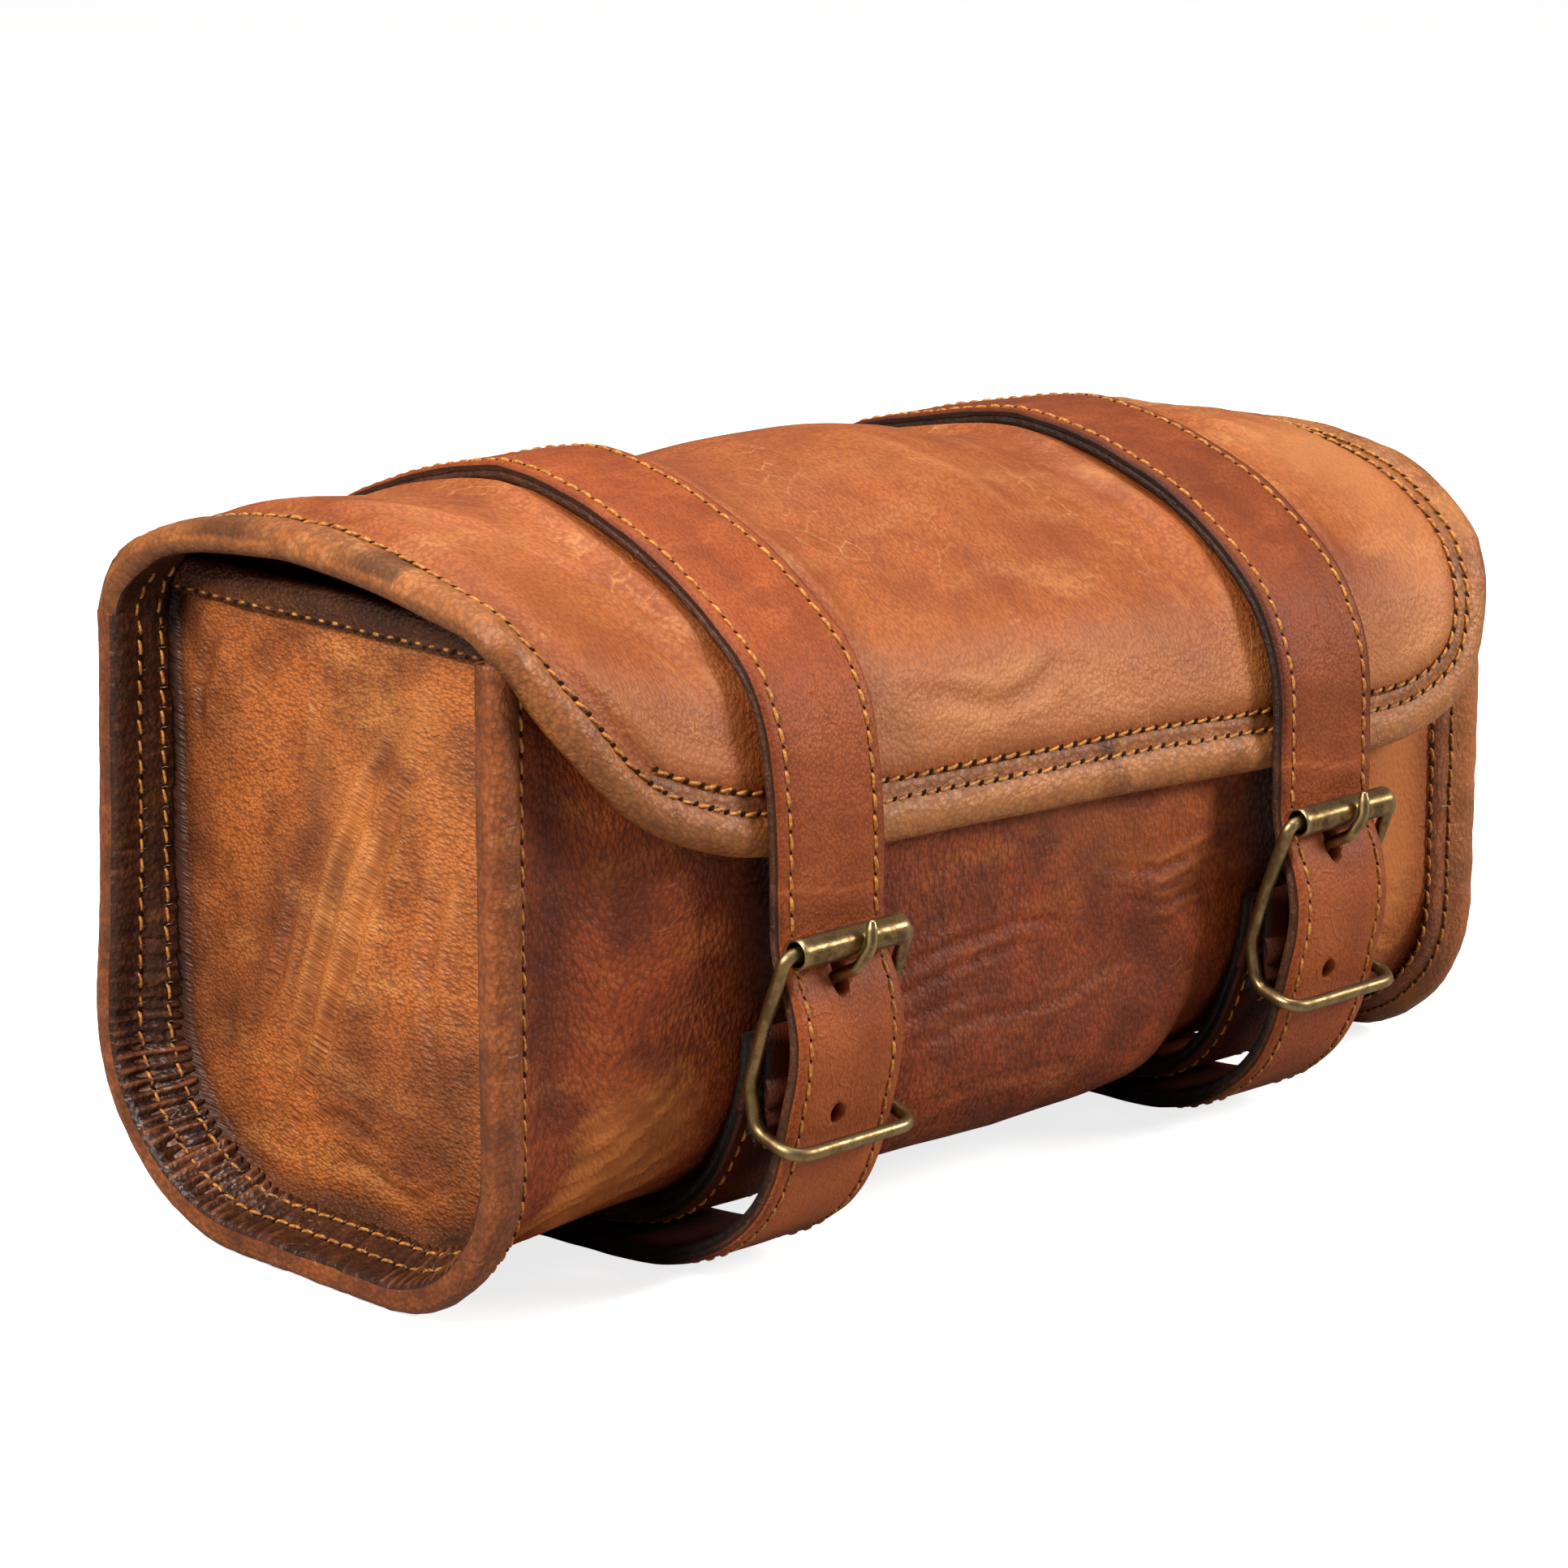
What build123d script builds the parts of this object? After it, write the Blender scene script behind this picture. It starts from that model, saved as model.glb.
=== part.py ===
from build123d import *
import math
import os

# ---------------------------------------------------------------- driving dimensions (mm)
# +X runs along the bag to its right end, +Y to its back, +Z up from the surface it stands on.
BAG_LENGTH = 305.0          # over the two end flanges
FLANGE_DEPTH = 127.0        # front to back over an end flange
MID_Y = 12.55               # the flanges' mid-plane: buckles stand out further in front than loops do behind
LEATHER = 2.0               # body, lid and end leather
BINDING = 1.5               # folded binding strip, one layer
LIP = 1.5                   # the end panel's turned-out lip
END_INSET = 15.5            # end panel's outer face, in from the flange's edge
FOLD_Z = 134.0              # height of the fold that the lid turns on
FOLD_Y = 59.0               # the fold, behind the flanges' mid-plane
MOUTH_Z = 108.0             # top edge of the front panel, under the lid
HEM_HEIGHT = 11.0           # folded hem along an end panel's top
FOOT_WIDTH = 4.0            # flat outer edge of a flange, which the bag stands on

STRAP_X = 77.0              # each strap's centre, either side of the middle
STRAP_WIDTH = 30.0
STRAP_THICKNESS = 4.0
STRAP_BEDDING = 0.4         # between the strap and the bag's bottom and back
STRAP_CLEAR = 16.0          # the body and the lid keep one section this far either side of a strap's centre
BACK_STRAP_TOP = 126.0      # where the strap passes from the bag to the lid
HOLE_DIAMETER = 4.0
LOWER_HOLE_Z = 38.5
PRONG_HOLE_Z = 66.0         # the hole in use, stretched long by the prong
PRONG_HOLE_LENGTH, PRONG_HOLE_WIDTH = 12.5, 5.4
PRONG_LEAN = 0.6            # how far the prong leans to the right where it passes through that hole

WIRE = 3.0                  # buckle frame wire
FRAME_HALF_WIDTH = 17.5     # side wires, from the strap's centre
ROLLER_Y, ROLLER_Z = -85.0, 74.4
CENTRE_BAR_Y, CENTRE_BAR_Z = -74.0, 43.5
BOTTOM_BAR_Y, BOTTOM_BAR_Z = -87.3, 33.0
ROLLER_LENGTH = 30.0
ROLLER_DIAMETER = 6.5
RUNNING_GAP = 0.05          # radial, roller and prong on their bars
PRONG_WIRE = 2.4
PRONG_OFFSET = -1.8         # prong's root, from the strap's centre

HALF_LENGTH = BAG_LENGTH / 2
HALF_DEPTH = FLANGE_DEPTH / 2
PLATE_X = HALF_LENGTH - END_INSET
OPEN_TOP = 170.0            # U sections run up to here before they are trimmed
FAR = 200.0                 # further out than any piece reaches, for the shapes that cut
OVERRUN = 2.0               # how far an inner shape runs past the outer one that it hollows

# The body's outer U at six distances from the middle: back, front, bottom, back and front corner radius.
BODY_STATIONS = {
    0.0: (FOLD_Y, -70.0, 8.9, 40.0, 46.0),
    STRAP_X - STRAP_CLEAR: (FOLD_Y, -68.5, 8.9, 40.0, 48.0),
    STRAP_X + STRAP_CLEAR: (FOLD_Y, -68.5, 8.9, 40.0, 48.0),
    PLATE_X: (FOLD_Y, -61.5, 6.5, 40.0, 38.0),
    HALF_LENGTH - FOOT_WIDTH: (HALF_DEPTH - BINDING, BINDING - HALF_DEPTH, BINDING, 42.5, 35.5),
    HALF_LENGTH: (HALF_DEPTH - BINDING, BINDING - HALF_DEPTH, BINDING, 42.5, 35.5),
}

# The strap's outer line, from the fold over the lid, down the front, through the buckle and under the bag.
STRAP_TOP_LEFT = [(63.4, 126.3), (63.4, 134), (61, 141.5), (54, 148.5), (44, 153.3), (30, 158.5), (14, 162.7),
                  (0, 164.2), (-19, 160.5), (-34, 155), (-48, 148), (-62, 139), (-72, 130), (-77.5, 119)]
STRAP_TOP_RIGHT = [(63.4, 126.3), (63.4, 134), (61, 140.5), (54, 146), (44, 149.3), (30, 153), (14, 156.8),
                   (0, 158.3), (-19, 155), (-34, 149.8), (-48, 142.7), (-62, 133.5), (-71.5, 124.5), (-77.3, 114.5)]
STRAP_FRONT = [(-80.2, 104), (-80.8, 93), (-80.9, 82), (-81.2, 74.4), (-82.8, 68.5), (-85.2, 63), (-86.6, 55.5),
               (-86.1, 48), (-84.2, 40), (-82.4, 33), (-79.5, 24), (-74.5, 15.5), (-67, 8.5), (-58, 3.6),
               (-48, 0.8), (-38, 0)]
TAIL_END_Y = 8.0            # tip of the strap's tail, under the bag
TAIL_POINT = 14.0           # length of the pointed tip

# The lid's outer line at its two ends, a little way in from them, and in the middle, from the fold over the
# top and down the front. Under the straps it follows the straps' own line.
LID_UNDER_STRAP = 6.2       # the lid's outer face, in from the strap's outer face
LID_NEAR_END_X = 135.0
LID_LEFT_END = [(59, 134.3), (57, 139.5), (50, 147), (36, 153), (8, 155.2), (-20, 154.3),
                (-44, 151.8), (-61, 149), (-69, 141.5), (-70.5, 127), (-71, 105), (-71, 76)]
LID_NEAR_LEFT = [(59, 134.3), (57, 140.5), (50, 148.5), (34, 156), (6, 160), (-22, 157),
                 (-45, 150.5), (-61, 143.5), (-69.5, 133), (-72, 117), (-73, 100), (-73, 76)]
LID_MIDDLE = [(59, 134.3), (56.3, 140.5), (48, 147), (28.5, 152.8), (2, 157.3), (-24, 152),
              (-45, 142), (-58, 133.6), (-68, 124.5), (-73.2, 112), (-74.7, 99), (-74.9, 76)]
LID_NEAR_RIGHT = [(59, 134.3), (56, 138.5), (47, 141.8), (28, 144.5), (2, 146.3), (-22, 145),
                  (-42, 139.5), (-57, 130.5), (-68, 117.5), (-71.8, 105), (-72.5, 94), (-72.5, 76)]
LID_RIGHT_END = [(59, 134.3), (55.5, 137.8), (46, 141.2), (28, 143), (2, 143.9), (-20, 143.8),
                 (-42.5, 140.2), (-58.5, 130.5), (-68.5, 117.5), (-71.5, 104), (-71.8, 94), (-71.8, 76)]

# Where each end stops under the lid: the left end stands higher than the right one.
LEFT_TRIM = [(-100, 139.5), (-58, 139.5), (-55, 141), (49, 141), (54, 131.2), (100, 131.2)]
RIGHT_TRIM = [(-100, 106), (-65, 106), (-62, 108), (-53.5, 118), (-38.5, 127.5), (-20, 133),
              (28, 133), (46, 131.5), (100, 131.5)]

# The mouth, cut down into the front panel, seen from the front.
MOUTH_CUT = [(-141, 160), (-141, 141), (-118, MOUTH_Z), (136, MOUTH_Z), (136, 160)]

# The lid's lower edge seen from the front: a wide left corner, a tighter right one.
LID_EDGE = [(-154, 146), (-147, 131), (-137, 117), (-116, 99), (-93, 91), (-70, 88.5)]
LID_EDGE_RIGHT = [(108, 82.5), (129, 87), (141, 96), (146.5, 108), (149.5, 118), (154, 126)]
LID_BINDING_WIDTH = 14.0
LID_LEG = 1.3               # one layer of the lid's binding

# The buckle's bent wires: bends in the frame's side, and the prong's route out from its root.
FRAME_SIDE = [(ROLLER_Y, ROLLER_Z), (-78.6, 58.5), (-74.6, 46.0), (-76.4, 36.2), (BOTTOM_BAR_Y, BOTTOM_BAR_Z)]
FRAME_BENDS = [2.6, 12.0, 8.0, 5.0, 3.0]
PRONG_ROUTE = [(0, -76.9, 45.0), (0, -78.2, 55.5), (0.3, -81.2, 62.5), (1.4, -86.4, 68.2), (2.8, -90.0, 73.0),
               (4.2, -89.3, 79.2)]
PRONG_BENDS = [12.0, 9.0, 8.0, 4.5]
PRONG_EYE_WIDTH = 4.0
# The strap's fold from the centre bar down to the bag's front.
CHAPE_LINE = [(-77.9, 42.6), (-70.2, 44.5), (-60.8, 29.5), (-65.6, 29.5), (-72.0, 36.5)]
CHAPE_END_Z = 30.0


# ---------------------------------------------------------------- shared shapes
def section_plane(x):
    """An upright plane across the bag: its own X is the bag's depth, its own Y is height."""
    return Plane(origin=(x, MID_Y, 0), x_dir=(0, 1, 0), z_dir=(1, 0, 0))


def front_plane(y):
    """An upright plane along the bag: its own X is the bag's length, its own Y is height."""
    return Plane(origin=(0, MID_Y + y, 0), x_dir=(1, 0, 0), z_dir=(0, -1, 0))


def offset_points(points, distance):
    """A line of points moved sideways, to the left of its direction of travel."""
    moved = []
    for i, (u, v) in enumerate(points):
        u0, v0 = points[max(i - 1, 0)]
        u1, v1 = points[min(i + 1, len(points) - 1)]
        length = math.hypot(u1 - u0, v1 - v0)
        moved.append((u - (v1 - v0) / length * distance, v + (u1 - u0) / length * distance))
    return moved


def interpolate(stations, x):
    """The station values at x, on straight lines between the stations, carried on past the last one."""
    places = sorted(stations)
    index = max(i for i in range(len(places) - 1) if i == 0 or places[i] <= x)
    low, high = places[index], places[index + 1]
    t = (x - low) / (high - low)
    return [a + (b - a) * t for a, b in zip(stations[low], stations[high])]


def body_face(x, inset):
    """The body's U at x, moved inwards by inset and closed across its top."""
    back, front, bottom, back_radius, front_radius = interpolate(BODY_STATIONS, abs(x))
    with BuildSketch(section_plane(x)) as section:
        with BuildLine():
            FilletPolyline(
                (back - inset, OPEN_TOP), (back - inset, bottom + inset),
                (front + inset, bottom + inset), (front + inset, OPEN_TOP),
                radius=[back_radius - inset, front_radius - inset],
            )
            Line((front + inset, OPEN_TOP), (back - inset, OPEN_TOP))
        make_face()
    return section.sketch.face()


def body_faces(x_from, x_to, inset):
    """The body's U faces from x_from to x_to, with every station between them."""
    low, high = sorted((x_from, x_to))
    marks = [x for x in BODY_STATIONS] + [-x for x in BODY_STATIONS if x]
    between = [x for x in marks if low + 0.5 < x < high - 0.5]
    return [body_face(x, inset) for x in [low] + sorted(between) + [high]]


def band_face(plane, points, outer, inner):
    """A thin closed profile between two offsets of one smooth line."""
    near = offset_points(points, outer)
    far = offset_points(points, inner)
    with BuildSketch(plane) as section:
        with BuildLine():
            Spline(*near)
            Line(near[-1], far[-1])
            Spline(*reversed(far))
            Line(far[0], near[0])
        make_face()
    return section.sketch.face()


def lid_under(strap_top):
    """The lid's line where a strap lies over it: it follows the strap's own line, a little inside it."""
    line = offset_points(strap_top + STRAP_FRONT, LID_UNDER_STRAP)
    return [(FOLD_Y, FOLD_Z + 0.3)] + [line[i] for i in (2, 3, 5, 7, 8, 10, 11, 12, 13, 14, 16)]


def lid_stations():
    """The lid's outer line at nine places along the bag."""
    under_left = lid_under(STRAP_TOP_LEFT)
    under_right = lid_under(STRAP_TOP_RIGHT)
    return {
        -HALF_LENGTH: LID_LEFT_END, -LID_NEAR_END_X: LID_NEAR_LEFT,
        -STRAP_X - STRAP_CLEAR: under_left, -STRAP_X + STRAP_CLEAR: under_left,
        0.0: LID_MIDDLE,
        STRAP_X - STRAP_CLEAR: under_right, STRAP_X + STRAP_CLEAR: under_right,
        LID_NEAR_END_X: LID_NEAR_RIGHT, HALF_LENGTH: LID_RIGHT_END,
    }


def lid_faces(outer, inner):
    """The lid's band at every station, between two offsets of its line."""
    return [band_face(section_plane(x), points, outer, inner) for x, points in lid_stations().items()]


def trim_face(x, points):
    """Everything above a trim line, at x."""
    with BuildSketch(section_plane(x)) as section:
        with BuildLine():
            Polyline(*points, (points[-1][0], FAR), (points[0][0], FAR), close=True)
        make_face()
    return section.sketch.face()


def lid_edge_face(inset):
    """Everything below the lid's lower edge, seen from the front, with the edge moved up by inset."""
    left = offset_points(LID_EDGE, inset)
    right = offset_points(LID_EDGE_RIGHT, inset)
    with BuildSketch(front_plane(-62)) as section:
        with BuildLine():
            Spline(*left)
            Line(left[-1], right[0])
            Spline(*right)
            Polyline(right[-1], (FAR, right[-1][1]), (FAR, 0), (-FAR, 0), (-FAR, left[0][1]), left[0])
        make_face()
    return section.sketch.face()


# ---------------------------------------------------------------- body panel
def make_body_panel():
    """One sheet: the front, the bottom and the back, flared out into the two end flanges."""
    edge = HALF_LENGTH - BINDING
    with BuildPart() as panel:
        loft(body_faces(-edge, edge, 0), ruled=True)
        loft(body_faces(-edge - OVERRUN, edge + OVERRUN, LEATHER), ruled=True, mode=Mode.SUBTRACT)
        extrude(trim_face(-FAR, LEFT_TRIM), amount=FAR, dir=(1, 0, 0), mode=Mode.SUBTRACT)
        extrude(trim_face(0, RIGHT_TRIM), amount=FAR, dir=(1, 0, 0), mode=Mode.SUBTRACT)
        with BuildSketch(front_plane(0)):
            with BuildLine():
                Polyline(*MOUTH_CUT, close=True)
            make_face()
        extrude(amount=FAR, mode=Mode.SUBTRACT)
    return panel.part


body_panel = make_body_panel()
body_panel.label = "body_panel"


# ---------------------------------------------------------------- mouth binding
def make_mouth_binding():
    """A folded strip over the front panel's top edge."""
    reach = 114.0
    depth = 12.0
    leg = 1.2
    with BuildPart() as strip:
        loft(body_faces(-reach, reach, -leg), ruled=True)
        loft(body_faces(-reach - OVERRUN, reach + OVERRUN, LEATHER + leg), ruled=True, mode=Mode.SUBTRACT)
        with BuildSketch(front_plane(0)):
            with Locations((0, MOUTH_Z + leg - depth / 2)):
                Rectangle(2 * reach, depth)
        extrude(amount=FAR, mode=Mode.INTERSECT)
        add(body_panel, mode=Mode.SUBTRACT)
    return strip.part


mouth_binding = make_mouth_binding()
mouth_binding.label = "mouth_binding"


# ---------------------------------------------------------------- end panels and their bindings
def make_end_panel(side, trim):
    """A set-in end: a plate, a lip turned out along the flange, and a hem folded over its top edge."""
    inner = side * (PLATE_X - LEATHER)
    plate = side * PLATE_X
    edge = side * (HALF_LENGTH - BINDING)
    hem_thickness = 1.6
    hem_start, hem_end = -56.5, 52.0
    hem = side * (PLATE_X + hem_thickness)
    with BuildPart() as panel:
        loft(body_faces(inner, edge, LEATHER), ruled=True)
        loft(body_faces(plate, edge + side, LEATHER + LIP), ruled=True, mode=Mode.SUBTRACT)
        with BuildSketch(section_plane(hem)):
            with BuildLine():
                lowered = [(u, v - HEM_HEIGHT) for u, v in trim if hem_start < u < hem_end]
                raised = [(u, v + 1) for u, v in reversed(trim) if hem_start < u < hem_end]
                hem_line = [(hem_start, lowered[0][1])] + lowered + raised + [(hem_start, raised[-1][1])]
                Polyline(*hem_line, close=True)
            make_face()
        extrude(amount=-side * hem_thickness)
        extrude(trim_face(min(0, side * FAR), trim), amount=FAR, dir=(1, 0, 0), mode=Mode.SUBTRACT)
    return panel.part


end_panel_left = make_end_panel(-1, LEFT_TRIM)
end_panel_left.label = "end_panel_left"
end_panel_right = make_end_panel(1, RIGHT_TRIM)
end_panel_right.label = "end_panel_right"


def make_end_binding(side, outer_width, trim):
    """A folded strip over the flange: an outer leg, a web across the edge and an inner leg."""
    inner_width = 13.0
    edge = side * HALF_LENGTH
    web = side * (HALF_LENGTH - BINDING)
    outer_start = side * (HALF_LENGTH - outer_width)
    inner_start = side * (HALF_LENGTH - inner_width)
    stack = LEATHER + LIP
    with BuildPart() as strip:
        loft(body_faces(outer_start, edge, -BINDING), ruled=True)
        loft(body_faces(outer_start - side, web, 0), ruled=True, mode=Mode.SUBTRACT)
        loft(body_faces(inner_start, edge, stack), ruled=True)
        loft(body_faces(inner_start - side, edge + side, stack + BINDING), ruled=True, mode=Mode.SUBTRACT)
        extrude(trim_face(min(0, side * FAR), trim), amount=FAR, dir=(1, 0, 0), mode=Mode.SUBTRACT)
    return strip.part


end_binding_left = make_end_binding(-1, 8.0, LEFT_TRIM)
end_binding_left.label = "end_binding_left"
end_binding_right = make_end_binding(1, 15.0, RIGHT_TRIM)
end_binding_right.label = "end_binding_right"


# ---------------------------------------------------------------- lid and its binding
def make_lid_panel():
    """The lid: from the fold over the top and down the front, with its front corners cut round."""
    with BuildPart() as panel:
        loft(lid_faces(0, LEATHER), ruled=True)
        with BuildSketch(front_plane(FAR / 2)):
            Rectangle(BAG_LENGTH - 2 * LID_LEG, 2 * FAR)
        extrude(amount=FAR, mode=Mode.INTERSECT)
        extrude(lid_edge_face(LID_LEG), amount=FAR, dir=(0, -1, 0), mode=Mode.SUBTRACT)
    return panel.part


lid_panel = make_lid_panel()
lid_panel.label = "lid_panel"


def make_lid_binding():
    """One folded strip round the lid's two sides and its front edge."""
    inner_edge = HALF_LENGTH - LID_BINDING_WIDTH
    with BuildPart() as strip:
        loft(lid_faces(-LID_LEG, LEATHER + LID_LEG), ruled=True)
        extrude(lid_edge_face(0), amount=FAR, dir=(0, -1, 0), mode=Mode.SUBTRACT)
        with BuildPart(mode=Mode.PRIVATE) as middle:
            with BuildSketch(front_plane(FAR / 2)):
                Rectangle(2 * inner_edge, 2 * FAR)
            extrude(amount=FAR)
            extrude(lid_edge_face(LID_BINDING_WIDTH), amount=FAR, dir=(0, -1, 0), mode=Mode.SUBTRACT)
        add(middle.part, mode=Mode.SUBTRACT)
        add(lid_panel, mode=Mode.SUBTRACT)
    return strip.part


lid_binding = make_lid_binding()
lid_binding.label = "lid_binding"


# ---------------------------------------------------------------- straps
def make_strap_front(side, top_points):
    """The strap from the fold over the lid, through the buckle and back under the bag."""
    centre = side * STRAP_X
    start = section_plane(centre - STRAP_WIDTH / 2)
    line = top_points + STRAP_FRONT
    tip_half_width = 3.0
    beyond = 1.0
    point_y = MID_Y + TAIL_END_Y
    with BuildPart() as strap:
        extrude(band_face(start, line, 0, STRAP_THICKNESS), amount=STRAP_WIDTH)
        with BuildSketch(start):
            with BuildLine():
                tail_start = STRAP_FRONT[-1][0] - 0.5
                Polyline((tail_start, 0), (TAIL_END_Y, 0), (TAIL_END_Y, STRAP_THICKNESS),
                         (tail_start, STRAP_THICKNESS), close=True)
            make_face()
        extrude(amount=STRAP_WIDTH)
        with BuildSketch(Plane.XY):
            for half in (-1, 1):
                with BuildLine():
                    Polyline((centre + half * tip_half_width, point_y + beyond),
                             (centre + half * (STRAP_WIDTH / 2 + beyond), point_y + beyond),
                             (centre + half * (STRAP_WIDTH / 2 + beyond), point_y - TAIL_POINT),
                             close=True)
                make_face()
        extrude(amount=STRAP_THICKNESS + beyond, mode=Mode.SUBTRACT)
        with BuildSketch(front_plane(FOLD_Y - FLANGE_DEPTH)):
            with Locations((centre + PRONG_OFFSET + PRONG_LEAN, PRONG_HOLE_Z)):
                SlotOverall(PRONG_HOLE_LENGTH, PRONG_HOLE_WIDTH, rotation=90)
            with Locations((centre + PRONG_OFFSET, LOWER_HOLE_Z)):
                Circle(HOLE_DIAMETER / 2)
        extrude(amount=FAR, mode=Mode.SUBTRACT)
    return strap.part


strap_left_front = make_strap_front(-1, STRAP_TOP_LEFT)
strap_left_front.label = "strap_left_front"
strap_right_front = make_strap_front(1, STRAP_TOP_RIGHT)
strap_right_front.label = "strap_right_front"


def make_strap_back(side):
    """The strap from its fold round the buckle's centre bar, under the bag and up the back."""
    low = side * STRAP_X - STRAP_WIDTH / 2
    high = side * STRAP_X + STRAP_WIDTH / 2
    bar = (CENTRE_BAR_Y, CENTRE_BAR_Z)
    fold_radius = 4.0
    prong_notch = 5.8
    front_cut = [(-FAR, CHAPE_END_Z), (-40, CHAPE_END_Z), (-40, FAR), (-FAR, FAR)]
    with BuildPart() as strap:
        loft([body_face(low, -STRAP_BEDDING - STRAP_THICKNESS), body_face(high, -STRAP_BEDDING - STRAP_THICKNESS)],
             ruled=True)
        loft([body_face(low - 1, -STRAP_BEDDING), body_face(high + 1, -STRAP_BEDDING)],
             ruled=True, mode=Mode.SUBTRACT)
        with BuildSketch(section_plane(low)):
            with BuildLine():
                Polyline(*front_cut, close=True)
            make_face()
            with Locations((0, (BACK_STRAP_TOP + FAR) / 2)):
                Rectangle(FAR, FAR - BACK_STRAP_TOP)
        extrude(amount=STRAP_WIDTH, mode=Mode.SUBTRACT)
        with BuildSketch(section_plane(low)):
            with Locations(bar):
                Circle(fold_radius)
            with BuildLine():
                Polyline(*CHAPE_LINE, close=True)
            make_face()
            with Locations(bar):
                Circle(WIRE / 2 + 0.1, mode=Mode.SUBTRACT)
        extrude(amount=STRAP_WIDTH)
        with BuildSketch(section_plane(side * STRAP_X + PRONG_OFFSET - prong_notch / 2)):
            with Locations((CENTRE_BAR_Y - 1, CENTRE_BAR_Z + 1.6)):
                Rectangle(3 * fold_radius, 3 * fold_radius)
        extrude(amount=prong_notch, mode=Mode.SUBTRACT)
    return strap.part


strap_left_back = make_strap_back(-1)
strap_left_back.label = "strap_left_back"
strap_right_back = make_strap_back(1)
strap_right_back.label = "strap_right_back"


# ---------------------------------------------------------------- back loops
def make_back_loop(side, bottom):
    """A leather loop sewn to the back panel on both sides of the strap."""
    centre = side * STRAP_X
    height = 20.0
    thick = 2.2
    panel_y = MID_Y + FOLD_Y + 0.02
    bridge_y = panel_y + STRAP_BEDDING + STRAP_THICKNESS + 0.4
    half_inner = STRAP_WIDTH / 2 + 0.8
    half_outer = half_inner + 8.0
    with BuildPart() as loop:
        with BuildSketch(Plane.XY.offset(bottom)):
            with BuildLine():
                Polyline((centre - half_outer, panel_y), (centre - half_inner, panel_y),
                         (centre - half_inner, bridge_y), (centre + half_inner, bridge_y),
                         (centre + half_inner, panel_y), (centre + half_outer, panel_y),
                         (centre + half_outer, panel_y + thick), (centre + half_inner + thick, panel_y + thick),
                         (centre + half_inner + thick, bridge_y + thick),
                         (centre - half_inner - thick, bridge_y + thick),
                         (centre - half_inner - thick, panel_y + thick), (centre - half_outer, panel_y + thick),
                         close=True)
            make_face()
        extrude(amount=height)
    return loop.part


back_loops = {}
for side, side_name in ((-1, "left"), (1, "right")):
    for bottom, level in ((90.0, "upper"), (52.0, "lower")):
        name = f"back_loop_{side_name}_{level}"
        back_loops[name] = make_back_loop(side, bottom)
        back_loops[name].label = name


# ---------------------------------------------------------------- buckles
def make_buckle_frame(side):
    """One bent wire: top bar, two side wires that dip behind the strap, bottom bar, and a centre bar."""
    centre = side * STRAP_X
    half = FRAME_HALF_WIDTH
    down = [(centre - half, MID_Y + y, z) for y, z in FRAME_SIDE]
    up = [(centre + half, MID_Y + y, z) for y, z in reversed(FRAME_SIDE)]
    radii = FRAME_BENDS + FRAME_BENDS[::-1]
    with BuildPart() as frame:
        with BuildLine() as wire:
            FilletPolyline(*down, *up, radius=radii, close=True)
        with BuildSketch(Plane(origin=(centre, MID_Y + ROLLER_Y, ROLLER_Z), z_dir=(1, 0, 0))):
            Circle(WIRE / 2)
        sweep(path=wire.wire())
        with BuildSketch(section_plane(centre - half)):
            with Locations((CENTRE_BAR_Y, CENTRE_BAR_Z)):
                Circle(WIRE / 2)
        extrude(amount=2 * half)
    return frame.part


def make_roller(side):
    """A brass tube that turns on the frame's top bar."""
    with BuildPart() as tube:
        with BuildSketch(section_plane(side * STRAP_X - ROLLER_LENGTH / 2)):
            with Locations((ROLLER_Y, ROLLER_Z)):
                Circle(ROLLER_DIAMETER / 2)
                Circle(WIRE / 2 + RUNNING_GAP, mode=Mode.SUBTRACT)
        extrude(amount=ROLLER_LENGTH)
    return tube.part


def make_prong(side):
    """A bent wire that turns on the centre bar, comes out of the strap's hole and rests on the roller."""
    root = side * STRAP_X + PRONG_OFFSET
    eye_radius = WIRE / 2 + 2.2
    points = [(root + x, MID_Y + y, z) for x, y, z in PRONG_ROUTE]
    with BuildPart() as prong:
        with BuildLine() as wire:
            FilletPolyline(*points, radius=PRONG_BENDS)
        with BuildSketch(Plane(origin=wire.line @ 0, z_dir=wire.line % 0)):
            Circle(PRONG_WIRE / 2)
        sweep(path=wire.wire())
        with BuildSketch(section_plane(root - PRONG_EYE_WIDTH / 2)):
            with Locations((CENTRE_BAR_Y, CENTRE_BAR_Z)):
                Circle(eye_radius)
        extrude(amount=PRONG_EYE_WIDTH)
        with BuildSketch(section_plane(root)):
            with Locations((CENTRE_BAR_Y, CENTRE_BAR_Z)):
                Circle(WIRE / 2 + RUNNING_GAP)
        extrude(amount=PRONG_EYE_WIDTH, both=True, mode=Mode.SUBTRACT)
    return prong.part


buckle_frame_left = make_buckle_frame(-1)
buckle_frame_left.label = "buckle_frame_left"
buckle_frame_right = make_buckle_frame(1)
buckle_frame_right.label = "buckle_frame_right"
roller_left = make_roller(-1)
roller_left.label = "roller_left"
roller_right = make_roller(1)
roller_right.label = "roller_right"
prong_left = make_prong(-1)
prong_left.label = "prong_left"
prong_right = make_prong(1)
prong_right.label = "prong_right"


# ---------------------------------------------------------------- one file for each piece
pieces = [body_panel, mouth_binding, end_panel_left, end_panel_right, end_binding_left, end_binding_right,
          lid_panel, lid_binding, strap_left_front, strap_right_front, strap_left_back, strap_right_back,
          *back_loops.values(), buckle_frame_left, buckle_frame_right, roller_left, roller_right,
          prong_left, prong_right]
os.makedirs("parts", exist_ok=True)
for piece in pieces:
    export_step(piece, f"parts/{piece.label}.step")

whole = Compound(children=pieces).bounding_box()
print("low ", [round(value, 3) for value in whole.min])
print("high", [round(value, 3) for value in whole.max])
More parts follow.
